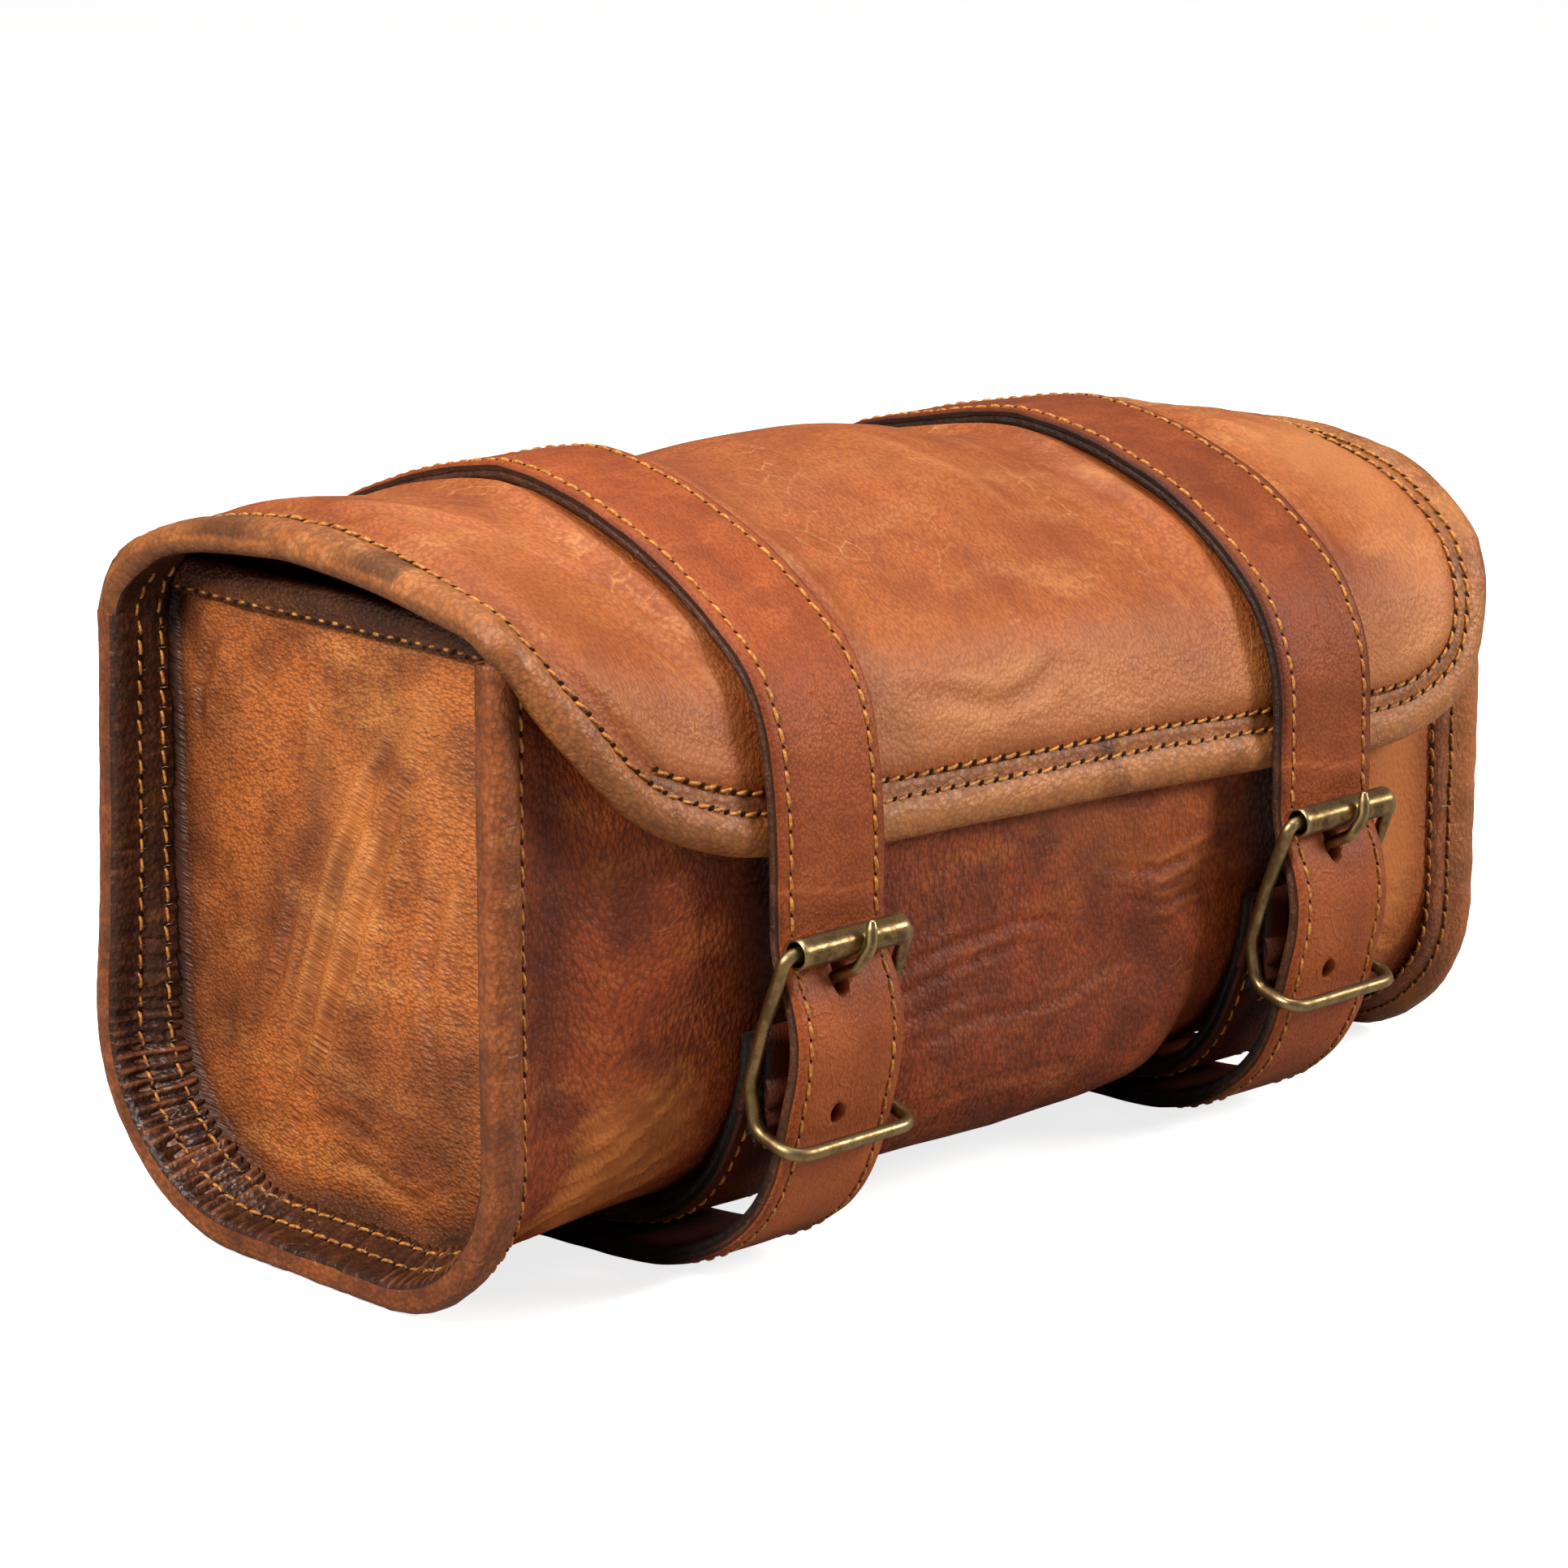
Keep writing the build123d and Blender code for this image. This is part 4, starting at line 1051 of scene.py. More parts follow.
def make_end_panel(side, name):
    """The set-in end: a plate with a belly and creases, turned outwards into a lip along the flange."""
    outline, on_u = end_outline(side, PLATE_X, -STACK)
    middle = np.array([0.0, 78.0])
    shares = np.concatenate([[0.012], np.linspace(0.05, 0.90, 62), np.linspace(0.915, 0.985, 7)])
    rings = middle + shares[:, None, None] * (outline - middle)
    y, z = rings[..., 0], rings[..., 1]
    edge = np.linalg.norm(outline - rings, axis=-1)
    on_side = np.arange(len(outline)) < on_u
    rise = LIP_TURN - np.sqrt(np.maximum(LIP_TURN ** 2 - np.maximum(LIP_TURN - edge, 0) ** 2, 0))
    turn = np.where(on_side, rise, 0.0)
    belly = 1.6 * ramp(edge, 4, 45) + noise(y / 22, z / 30, 21 + side) * 0.7
    relief = belly + creased(y, z, END_CREASES) * (1 if side < 0 else 0.6)
    x = side * (PLATE_X + relief * ramp(edge, 1, 12) + turn)
    plate = np.stack([x, y, z], -1)
    tone = end_tone(y, z, edge)
    visible, hidden = list(plate), [ring - [side * LEATHER, 0, 0] for ring in plate]
    for reach in LIP_REACHES:
        drop = (END_TOPS[side][0] - LIP_TOP) * ramp(reach, 1.0, 9.0)
        near = end_outline(side, PLATE_X + reach, -STACK, drop)[0]
        far = end_outline(side, PLATE_X + reach, -LEATHER - 0.05, drop)[0]
        lip_x = np.where(on_side, side * (PLATE_X + reach), side * (PLATE_X - LEATHER / 2))
        visible.append(at_x(lip_x, near))
        hidden.append(at_x(lip_x, far))
    visible, hidden = np.array(visible), np.array(hidden)
    # The lip is painted dark all over: painted shade where it lies under the flange's binding.
    tone = np.concatenate([tone, np.full((len(LIP_REACHES), len(outline)), 0.7)])
    rows, columns = visible.shape[:2]
    count = rows * columns
    points = np.concatenate([visible.reshape(-1, 3), hidden.reshape(-1, 3)])
    faces = grid_faces(rows, columns, wrap_columns=True, flip=True)
    faces += grid_faces(rows, columns, first=count, wrap_columns=True)
    faces.append(list(range(columns)))
    faces.append(list(range(count, count + columns))[::-1])
    last = count - columns
    for j in range(columns):
        k = (j + 1) % columns
        faces.append([last + k, last + j, count + last + j, count + last + k])
    if side > 0:
        faces = [face[::-1] for face in faces]
    flat = (visible[..., 1:] + visible[..., :1]).reshape(-1, 2)
    piece = make_piece(f"end_{name}_leather", points, faces, [END_LEATHER], np.tile(flat, (2, 1)),
                       np.tile(tone.ravel(), 2))
    with_bag(piece, "leather_end", f"end_panel_{name}")


def make_end_hem(side, name):
    """The hem folded over the end's top edge, with its row of stitches."""
    reach = 54.0
    ys = np.linspace(-reach, reach, 90)
    lows = np.interp(ys, [-58, 58], END_TOPS[side][::-1]) - HEM_WIDTH
    profile = [(0.0, -0.2), (1.35, 0.1), (1.75, 1.4), (1.9, 4.2), (1.6, 6.9), (0.4, 7.8), (-0.9, 7.4),
               (-0.9, 0.0)]
    rings = []
    for y, low in zip(ys, lows):
        wave = noise(y / 4.3, 0.5, 41) * 0.25
        sag = 0.5 * noise(y / 26, 1.5, 42)
        rings.append([(side * (PLATE_X + 0.15 + h + 0.18 * noise(y / 6, w, 43)), y, low + w + wave + sag)
                      for h, w in profile])
    rings = np.array(rings) if side > 0 else np.array(rings)[::-1]
    points, faces = sweep_data(rings)
    flat = [(p[1], p[2] + 200) for p in points]
    # Painted shadow: the hem is dark all over, as if in the lid's shadow.
    tone = np.full(len(points), 0.75)
    piece = make_piece(f"end_{name}_hem", points, faces, [END_LEATHER], flat, tone)
    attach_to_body(piece, "bag")
    line = np.array([(side * (PLATE_X + 1.72), y, low + 1.3 + 0.3 * noise(y / 26, 1.5, 42))
                     for y, low in zip(ys[::-1], lows[::-1])])
    sew(f"hem_{name}", [(line, np.tile([float(side), 0.0, 0.0], (len(line), 1)))], thread_on_bag,
        hole_size=(2.6, 0.6), slant=0.05, cover=0.5)


# The width of a flange's binding on its inner side.
INNER_WIDTH = 13.6


def flange_profile(outer_width):
    """The folded binding round a flange: (inwards from its edge, outwards from the body's U).

    A wide one has a second, flat strip outside its soft fold."""
    raised = BINDING + 0.55
    fold = min(outer_width, 8.0)
    outer = [(outer_width, 0.08), (outer_width, 0.62)]
    if outer_width > 10:
        outer += [(11.5, 0.85), (9.2, 0.8), (8.4, 1.05)]
    outer += [(fold - 0.9, raised - 0.55), (fold - 2.6, raised), (3.2, raised + 0.1), (1.6, raised - 0.2),
              (0.45, raised - 0.95)]
    nose = [(0.0, 0.0), (-0.1, -STACK / 2), (0.05, -STACK + 0.1)]
    inner = [(0.75, -STACK - 0.85), (2.0, -STACK - 1.35), (4.6, -STACK - 1.55), (6.6, -STACK - 1.05),
             (8.6, -STACK - 1.45), (10.3, -STACK - 1.35), (11.6, -STACK - 1.0),
             (INNER_WIDTH - 0.5, -STACK - 1.3), (INNER_WIDTH, -STACK - 0.9), (INNER_WIDTH, -STACK - 0.05)]
    back = [(2.5, -STACK - 0.05), (BINDING, -STACK / 2), (2.5, -0.02)]
    return np.array(outer + nose + inner + back)


def narrowed(place, width):
    """A place on a flange's edge, or each of several, moved in with the U that narrows to the end plate."""
    y, z = np.asarray(place).T
    far, near = body_values(HALF_LENGTH), body_values(PLATE_X)
    share = np.interp(width, [0, 4.0, PLATE_INSET], [0, 0, 1])
    dy = ramp(y, 0, 40) * (near[0] - far[0]) + ramp(-y, 0, 40) * (near[1] - far[1])
    dz = ramp(-z, -45, -5) * (near[2] - far[2])
    return np.column_stack([y + dy * share, z + dz * share])


def flange_row(side, line, width, height):
    """A row of stitches on a flange, in from its edge: its line and its normals."""
    x = side * (HALF_LENGTH - width)
    outward = left_of(line)
    places = narrowed(line, width) + outward * height
    places[:, 0] += flange_lean(x, places[:, 0], places[:, 1])
    row, normals = at_x(x, places), at_x(0, outward * np.sign(height))
    return (row[::-1], normals[::-1]) if side > 0 else (row, normals)


def make_end_binding(side, name, outer_width):
    """The strip folded over a flange, puckered where it turns the bottom corners."""
    profile = flange_profile(outer_width)
    w, h = profile[:, 0], profile[:, 1]
    girth = lengths(profile)
    top_back = LEFT_TOP_BACK if side < 0 else RIGHT_TOP_BACK
    top_front = LEFT_TOP_FRONT if side < 0 else RIGHT_TOP_FRONT
    outer_line = resample(u_line(HALF_LENGTH, 0, top_back, top_front, (60, 60, 60, 60, 60)), 0.7)
    outward = left_of(outer_line)
    corner_back = bump_of(np.hypot(outer_line[:, 0] - 48, outer_line[:, 1] - 14), 34)
    corner_front = bump_of(np.hypot(outer_line[:, 0] + 50, outer_line[:, 1] - 14), 26)
    puckers = np.clip(corner_back + 0.75 * corner_front, 0, 1)
    inner_side = h < -STACK - 0.2
    rings, flats, tones = [], [], []
    for s, place, out, pucker in zip(lengths(outer_line), outer_line, outward, puckers):
        waves = np.sin(s * 2.05 + 1.6 * noise(s / 7, w / 9, 51)) * 0.5 + noise(s / 1.7, w / 6, 52) * 0.55
        gather = (0.3 + 1.7 * pucker) * waves
        soft = 0.16 * noise(s / 5, w / 4, 53) + 0.10 * noise(s / 1.9, w / 2.5, 54)
        ragged = noise(s / 7.0, 0.3, 55) * 0.9 + pucker * noise(s / 3.1, 0.7, 56)
        ragged = np.where(w > INNER_WIDTH - 0.8, ragged, 0)
        lift = np.where(inner_side, -gather * ramp(w, 0.6, 4.0) * 0.9 - np.abs(ragged) * 0.5, 0)
        lift += np.where(~inner_side & (h > 0), soft, -soft * 0.6)
        offset = (h + lift)[:, None]
        x = side * (HALF_LENGTH - w - np.where(inner_side, ragged * 0.8, 0.15 * noise(s / 8, 0.2, 57)))
        local = narrowed(place, w)
        lean = flange_lean(x, local[:, 0], local[:, 1])
        rings.append(at_x(x, local + out * offset + np.outer(lean, [1, 0])))
        flats.append(np.column_stack([girth, np.full(len(w), s)]))
        tone = 0.35 * (w > 8.6) + 0.25 * ramp(-h, -0.2, 2.0) + 0.25 * noise(s / 9, 0.4, 58)
        tone = np.where(inner_side, 0, tone)
        tone += 0.08 + 0.08 * ramp(place[0], 20, 50) if side < 0 else -0.45
        # On the inner side, painted light on the raised puckers and painted shade in their hollows.
        tones.append(tone - 0.7 * np.clip(gather, -0.6, 1.0) * inner_side)
    rings = np.array(rings)
    if side > 0:
        rings = rings[:, ::-1]
        flats = [f[::-1] for f in flats]
        tones = [t[::-1] for t in tones]
        inner_side = inner_side[::-1]
    points, faces = sweep_data(rings)
    deep = inner_side & (rings[0, :, 0] * -side < HALF_LENGTH - 3.0)
    piece = make_piece(f"end_binding_{name}_leather", points, faces, [FLANGE_LEATHER, INNER_LEATHER],
                       np.concatenate(flats), np.concatenate(tones), ring_kinds(deep, len(rings)))
    with_bag(piece, "leather_binding", f"end_binding_{name}")

    outer_rows = [(9.3, 0.98), (outer_width + 0.6, 0.55)] if outer_width > 10 else [(outer_width - 0.4, 1.2)]
    sew(f"flange_{name}_outside", [flange_row(side, outer_line, *row) for row in outer_rows], thread_on_bag,
        hole_size=(1.5, 0.5))
    inner_rows = [flange_row(side, outer_line, *row) for row in ((6.6, -STACK - 1.15), (11.7, -STACK - 1.1))]
    sew(f"flange_{name}_inside", inner_rows, thread_on_bag, hole_size=(1.7, 0.5))
    make_fray(f"fray_{name}", inner_rows)


def make_fray(name, rows):
    """Small pale fibres that stand out of the needle holes on the flange's inner side."""
    parts = []
    for r, (line, normals) in enumerate(rows):
        along = lengths(line)
        places = np.arange(THREAD_PITCH, along[-1] - 2, THREAD_PITCH)
        centres = sample(line, places)
        ups = np.stack([np.interp(places, along, normals[:, k]) for k in range(3)], 1)
        for i, (centre, up) in enumerate(zip(centres, ups)):
            for k in range(2):
                lean = noise(i * 3.3 + k * 7.1, r * 5.5, 61)
                across = np.array([1.0 if k else -1.0, 0, 0]) * (0.9 + 0.4 * lean)
                tip = centre + across * 1.1 + up * (0.55 + 0.2 * lean) + np.array([0, 0, 0.5 * lean])
                middle = centre + across * 0.5 + up * 0.45
                curve = smooth_line([centre + up * 0.1, middle, tip], 0.5)
                parts.append(sweep_data(tube_rings(curve, np.linspace(0.11, 0.03, len(curve)), sides=5)))
    points, faces = joined(parts)
    piece = make_piece(name, points, faces, [FRAYED])
    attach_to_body(piece, "bag")


# ---------------------------------------------------------------- lid
def lid_outline():
    """The lid's edge on its flat leather, as (x, distance from the fold): left side, front, right side."""
    front = np.array([(x, lid.distance_at_height(x, z)) for x, z in smooth_line(LID_EDGE, 4.0)])
    for _ in range(3):
        front[1:-1] = (front[:-2] + 2 * front[1:-1] + front[2:]) / 4
    front = [tuple(place) for place in front]
    low = 4.0 - LID_START
    left = [(-HALF_LENGTH, s) for s in np.linspace(low, front[0][1], 9)[:-1]]
    right = [(HALF_LENGTH - 1.5 * ramp(s, 8, 60), s) for s in np.linspace(front[-1][1], low, 9)[1:]]
    return smooth_line(left + front + right, 1.6)


LID_OUTLINE = lid_outline()
LID_INWARD = -left_of(LID_OUTLINE)


def lid_edge_distance(x, s):
    """Distance on the flat leather from the lid's edge."""
    return distance_to(x, s, LID_OUTLINE[::3])[0]


def front_edge_at(edge, x):
    """How far from the fold the lid's front edge crosses x, or NaN where it doesn't."""
    crossings = [s0 + (s1 - s0) * (x - x0) / (x1 - x0) for (x0, s0), (x1, s1) in zip(edge, edge[1:])
                 if (x0 - x) * (x1 - x) <= 0 and x0 != x1]
    return max((s for s in crossings if s > 60), default=np.nan)


def make_lid():
    """The lid's leather: a sheet that ends under the binding."""
    inset = 5.0
    edge = LID_OUTLINE + LID_INWARD * inset
    xs = np.linspace(-HALF_LENGTH + inset, HALF_LENGTH - inset, 200)
    ends = np.array([front_edge_at(edge, x) for x in xs])
    good = ~np.isnan(ends)
    ends = np.interp(xs, xs[good], ends[good])
    share = np.linspace(0, 1, 155)
    first = 1.5 - LID_START
    s = first + share[None] * (ends[:, None] - first)
    x = np.repeat(xs[:, None], len(share), 1)
    far = lid_edge_distance(x, s)
    swell = 0.55 * bump_of(far - 17.5, 3.4) - 0.25 * bump_of(far - LID_BINDING_WIDTH, 1.6)
    rows = 0.10 * np.sin(2 * np.pi * (x + s) / THREAD_PITCH) * bump_of(far - 15.2, 1.6)
    grid = lid.point(x, s, swell + rows)
    # A painted shadow line beside the binding's raw edge, random patches, and paler low on the front, at the
    # right and on the crests.
    tone = (0.3 * bump_of(far - LID_BINDING_WIDTH, 2.2)
            + 0.22 * ramp(noise(x / 30, s / 26, 71), 0.1, 0.9)
            - 0.36 * ramp(s, 120, 160) - 0.15 * ramp(x, 100, 125)
            - 0.22 * bump_of(np.hypot(x - 128, (s - 110) / 1.4), 20)
            - 0.16 * bump_of(s - 92, 16) - 0.25 * crests(x, s, LID_CREASES))
    piece = make_sheet("lid_leather", grid, -1, np.stack([x, s], -1), [LID_LEATHER], tone=tone)
    with_lid(piece, "leather_lid", "lid_panel")


def lid_profile():
    """The lid's folded binding: (inwards from the edge, out from the lid's face)."""
    fold = LID_FOLD_WIDTH
    under = -LEATHER - LID_LEG
    outer = [(LID_BINDING_WIDTH, 0.05), (LID_BINDING_WIDTH - 0.1, 0.35), (11.2, 0.5), (fold + 0.6, 0.45),
             (fold - 0.1, 0.75), (fold - 0.9, 1.3), (fold - 2.2, 1.85), (5.2, 2.15), (3.5, 2.05), (2.0, 1.5),
             (0.9, 0.6), (0.25, -0.5)]
    nose = [(0.0, -1.7), (0.3, -2.9), (1.2, under - 0.6)]
    inner = [(2.6, under - 1.1), (4.6, under - 1.1), (7.0, under - 0.5), (9.0, under), (11.5, under),
             (LID_BINDING_WIDTH, under + 0.15), (LID_BINDING_WIDTH, -LEATHER - 0.05), (3.5, -LEATHER - 0.05),
             (2.6, -1.0), (3.5, 0.02)]
    return np.array(outer + nose + inner)


def make_lid_binding():
    """The strip folded over the lid's edge: a pale soft fold, a stitched channel and a dark raw strip."""
    profile = lid_profile()
    w, h = profile[:, 0], profile[:, 1]
    girth = lengths(profile)
    under_side = h < -3.0
    outside = h > -0.4
    rings, flats, tones = [], [], []
    for s, place, inward in zip(lengths(LID_OUTLINE), LID_OUTLINE, LID_INWARD):
        # The under side is narrow along the left, and wide and deep where it meets a flange at the back.
        corner = ramp(-place[1], -26, -12)
        narrow = np.where(under_side, corner, 0.0)
        narrow = np.maximum(narrow, 1 - 0.9 * ramp(-place[0], 114, 134))
        width = np.where(w > LID_FOLD_WIDTH, LID_FOLD_WIDTH + (w - LID_FOLD_WIDTH) * narrow, w)
        width = width + np.where(under_side & (w > 11), corner * 1.1, 0.0)
        width = width * (1 + 0.03 * noise(s / 16, 0.5, 83))
        deep = np.where(under_side & (w > 1.0), corner * (-5.45 - h), 0.0)
        soft = 0.22 * noise(s / 7, w / 5, 81) + 0.10 * noise(s / 2.2, w / 3, 82)
        pucker = 0.16 * np.sin(2 * np.pi * s / THREAD_PITCH) * bump_of(w - LID_FOLD_WIDTH + 0.8, 1.2)
        folds = 0.30 * np.sin(2 * np.pi * (s + 1.3 * w) / 3.6 + 2 * noise(s / 6, w / 9, 85))
        folds = folds * ramp(-place[1], -34, -8) * bump_of(w - 4.5, 3.2) * (place[0] < 0)
        height = h + deep + np.where(h > 0.6, soft + pucker + folds, 0)
        flat_place = place + inward * width[:, None]
        rings.append(lid.point(flat_place[:, 0], flat_place[:, 1], height))
        flats.append(np.column_stack([girth, np.full(len(w), s)]))
        smudge = 0.55 * ramp(noise(s / 13, w / 30, 84), 0.25, 0.8)
        raw_strip = 0.32 * (w > LID_FOLD_WIDTH + 0.3)
        # Painted shade on the under side, and a painted highlight along the crown of the fold.
        tone = np.where(h < -1.5, 0.35, 0) - 0.2 * ramp(place[0], -90, -50) + 0.12 * ramp(-place[0], 100, 130)
        tones.append(tone + outside * (smudge + raw_strip - 0.12 * bump_of(w - 5, 2.5)))
    points, faces = sweep_data(np.array(rings))
    second = (h < -2.0) & (w > 2.4)
    piece = make_piece("lid_binding_leather", points, [f[::-1] for f in faces],
                       [BINDING_LEATHER, INNER_LEATHER], np.concatenate(flats), np.concatenate(tones),
                       ring_kinds(second, len(rings)))
    with_lid(piece, "leather_binding", "lid_binding")
    sew_lid_binding()


def lid_row(width, height, keep):
    """A row of stitches along a part of the lid's edge: its line and the lid's normals."""
    x, s = (LID_OUTLINE + LID_INWARD * width)[keep].T
    return lid.point(x, s, np.full(len(x), height)), lid.normal_at(x, s)


def sew_lid_binding():
    """Two rows outside, the second not at the left end, and two short ones under each back corner."""
    x, s = LID_OUTLINE.T
    rows = [lid_row(LID_FOLD_WIDTH + 0.35, 0.78, slice(None)),
            lid_row(LID_BINDING_WIDTH + 0.55, 0.32, x > -123)]
    sew("lid", rows, thread_on_lid, slant=0.22, cover=0.9, hole_size=(1.7, 0.5))
    rows = []
    for end in (-1, 1):
        for width in (6.6, 11.7):
            line, normals = lid_row(width, -5.5, (x * end > 150) & (s < 15))
            rows.append((line, -normals))
    sew("lid_corners", rows, thread_on_lid, hole_size=(1.7, 0.5))


# ---------------------------------------------------------------- straps
def strap_profile():
    """Across a strap, (sideways, outwards): a crowned face, round edges and a line between its two plies."""
    half = STRAP_WIDTH / 2
    top = [(-half + 0.05, -0.75), (-half + 0.45, -0.2), (-half + 1.4, 0.0), (-half + 2.5, -0.06),
           (-half + 3.1, -0.2), (-half + 3.8, -0.05)]
    top += [(u, 0.05) for u in np.linspace(-half + 5.2, half - 5.2, 12)]
    top += [(-u, v) for u, v in reversed(top[:6])]
    side = [(half, -1.4), (half - 0.1, -1.75), (half - 0.45, -1.95), (half - 0.45, -2.1),
            (half - 0.15, -2.35), (half - 0.1, -3.3), (half - 0.7, -STRAP_THICKNESS)]
    below = [(u, -STRAP_THICKNESS) for u in (half - 5, 0, 5 - half)]
    return np.array(top + side + below + [(-u, v) for u, v in reversed(side)])


STRAP_PROFILE = strap_profile()
# The profile's points on its face, and those on each edge before the three below.
STRAP_FACE_COUNT = 24
STRAP_EDGE_COUNT = 7


def strap_rings(line, centre_x, drift, half_width=None):
    """Rings along a strap's outer line, given as (y, z), with its sideways drift at each point."""
    rings = []
    for i, (point, out) in enumerate(zip(line, -left_of(line))):
        narrow = 1.0 if half_width is None else half_width[i] / (STRAP_WIDTH / 2)
        wobble = 0.12 * noise(i / 7, 0.5, 91)
        x = centre_x + drift[i] + STRAP_PROFILE[:, 0] * narrow + wobble
        ripple = np.where(STRAP_PROFILE[:, 1] > -1, 0.10 * noise(i / 4, STRAP_PROFILE[:, 0] / 7, 92), 0)
        depth = STRAP_PROFILE[:, 1] + ripple
        rings.append(np.column_stack([x, point[0] + out[0] * depth, point[1] + out[1] * depth]))
    return np.array(rings)


def strap_kinds(rings):
    """Face materials: leather on the faces, dark cut leather on the edges."""
    below = STRAP_FACE_COUNT + STRAP_EDGE_COUNT - 1
    kinds = []
    for j in range(len(STRAP_PROFILE)):
        on_face = j < STRAP_FACE_COUNT - 1 or below <= j < below + 4
        kinds.append(0 if on_face else 1)
    return kinds * (len(rings) - 1) + [1, 1]


def sew_strap(name, line, middle, half, keep, attach):
    """A row of stitches near each edge of a strap."""
    outward = -left_of(line)
    normals = at_x(0, outward)
    rows = []
    for edge in (-1, 1):
        row = at_x(middle + edge * (half - STITCH_INSET), line - 0.12 * outward)
        rows.append((row[keep], normals[keep]))
    sew(name, rows, attach, hole_size=(1.0, 0.28), slant=0.1, cover=0.93)


def strap_paint(rings, along):
    """Flat places and tones of a strap's rings: darker along both edges."""
    girth = lengths(STRAP_PROFILE)
    flat = np.stack(np.broadcast_arrays(girth[None, :], along[:, None]), -1)
    edge = np.abs(STRAP_PROFILE[:, 0]) - (STRAP_WIDTH / 2 - 1.0)
    tone = np.broadcast_to(0.35 * ramp(edge, -1.0, 0.8)[None, :], rings.shape[:2]).copy()
    tone += 0.10 * noise(along[:, None] / 14, girth[None, :] / 10, 95)
    return flat, tone


def strap_front_tone(side, u, z, front):
    """Pale at the fold over the roller and low on the tail, dark under the fold, with painted shade on its
    inside and under the bag.
    """
    fold_z = 84.5 + 1.6 * np.cos(u / 9) + 0.6 * noise(u / 4, 0.5, 94)
    tone = (0.28 * bump_of(z - 79.5, 4.0) - 0.75 * bump_of(z - fold_z, 0.8)) * front
    tone = tone - 0.28 * ramp(-z, -84, -66) * ramp(z, 24, 40) * front
    tone = tone - (0.42 if side < 0 else 0.2) * ramp(-z, -36, -26) * ramp(z, 4, 12) * front
    if side > 0:
        tone = tone + 0.36 * ramp(z, 80, 100)
    # Painted shade on the strap's inside face low down, and on the whole strap under the bag.
    inside = (STRAP_PROFILE[:, 1] < -2.2)[None, :]
    return tone + 0.8 * inside * ramp(-z, -45, -20) + 0.5 * ramp(-z, -12, -2)


def make_strap_front(side, name, top_points):
    """The strap over the lid, down through the buckle, and its pointed tail under the bag."""
    tail = [(y, 0.0) for y in (-30, -20, -10, 0, TAIL_END_Y)]
    line = smooth_line(top_points + STRAP_FRONT + tail, 1.3)
    along = lengths(line)
    tip = along[-1] - along
    skew = -8.0 if side < 0 else -3.0
    drift = skew * ramp(along, along[-1] - 105, along[-1]) + 0.5 * noise(along / 60, 0.5, 93)
    point = 0.2 + 0.8 * np.sqrt(np.clip(tip / TAIL_POINT, 0, 1))
    half = STRAP_WIDTH / 2 * np.where(tip < TAIL_POINT, point, 1.0)
    rings = strap_rings(line, side * STRAP_X, drift, half)
    points, faces = sweep_data(rings)
    flat, tone = strap_paint(rings, along)
    z = np.repeat(line[:, 1:2], rings.shape[1], 1)
    front = np.repeat(line[:, 0:1] < -62, rings.shape[1], 1)
    tone = tone + strap_front_tone(side, flat[..., 0], z, front)
    piece = make_piece(f"strap_{name}_front_leather", points, [f[::-1] for f in faces],
                       [STRAP_LEATHER, EDGE_LEATHER], flat.reshape(-1, 2), tone.ravel(), strap_kinds(rings))
    cut_holes(piece, side)
    with_lid(piece, "leather_strap", f"strap_{name}_front", out=STRAP_OUT)
    sew_strap(f"strap_{name}_front", line, side * STRAP_X + drift, half, tip > 4.0, thread_on_strap)


# Each hole in a strap: its height, its reach sideways and up, and its shift from the prong's root.
STRAP_HOLES = ((67.6, 2.4, 4.4, 0.6), (38.5, 1.9, 2.2, 0.0))


def cut_holes(piece, side):
    """Cuts the long hole that the prong stands in and the round hole below it."""
    angle = circle(24)
    cutters = []
    for centre_z, reach_x, reach_z, shift in STRAP_HOLES:
        ragged = 1 + 0.10 * noise(angle * 2, centre_z, 96)
        x = side * STRAP_X + PRONG_OFFSET + shift + np.cos(angle) * reach_x * ragged
        z = centre_z + np.sin(angle) * reach_z * ragged
        rings = [np.column_stack([x, np.full(len(angle), y), z]) for y in (-70.0, -95.0)]
        points, faces = sweep_data(np.array(rings))
        cutters.append(make_piece("cutter", points, faces, [HOLE]))
    for cutter in cutters:
        change = piece.modifiers.new("hole", "BOOLEAN")
        change.operation = "DIFFERENCE"
        change.solver = "EXACT"
        change.object = cutter
    bpy.context.view_layer.update()
    graph = bpy.context.evaluated_depsgraph_get()
    mesh = bpy.data.meshes.new_from_object(piece.evaluated_get(graph), preserve_all_data_layers=True,
                                           depsgraph=graph)
    piece.modifiers.clear()
    piece.data = mesh
    for cutter in cutters:
        bpy.data.objects.remove(cutter)


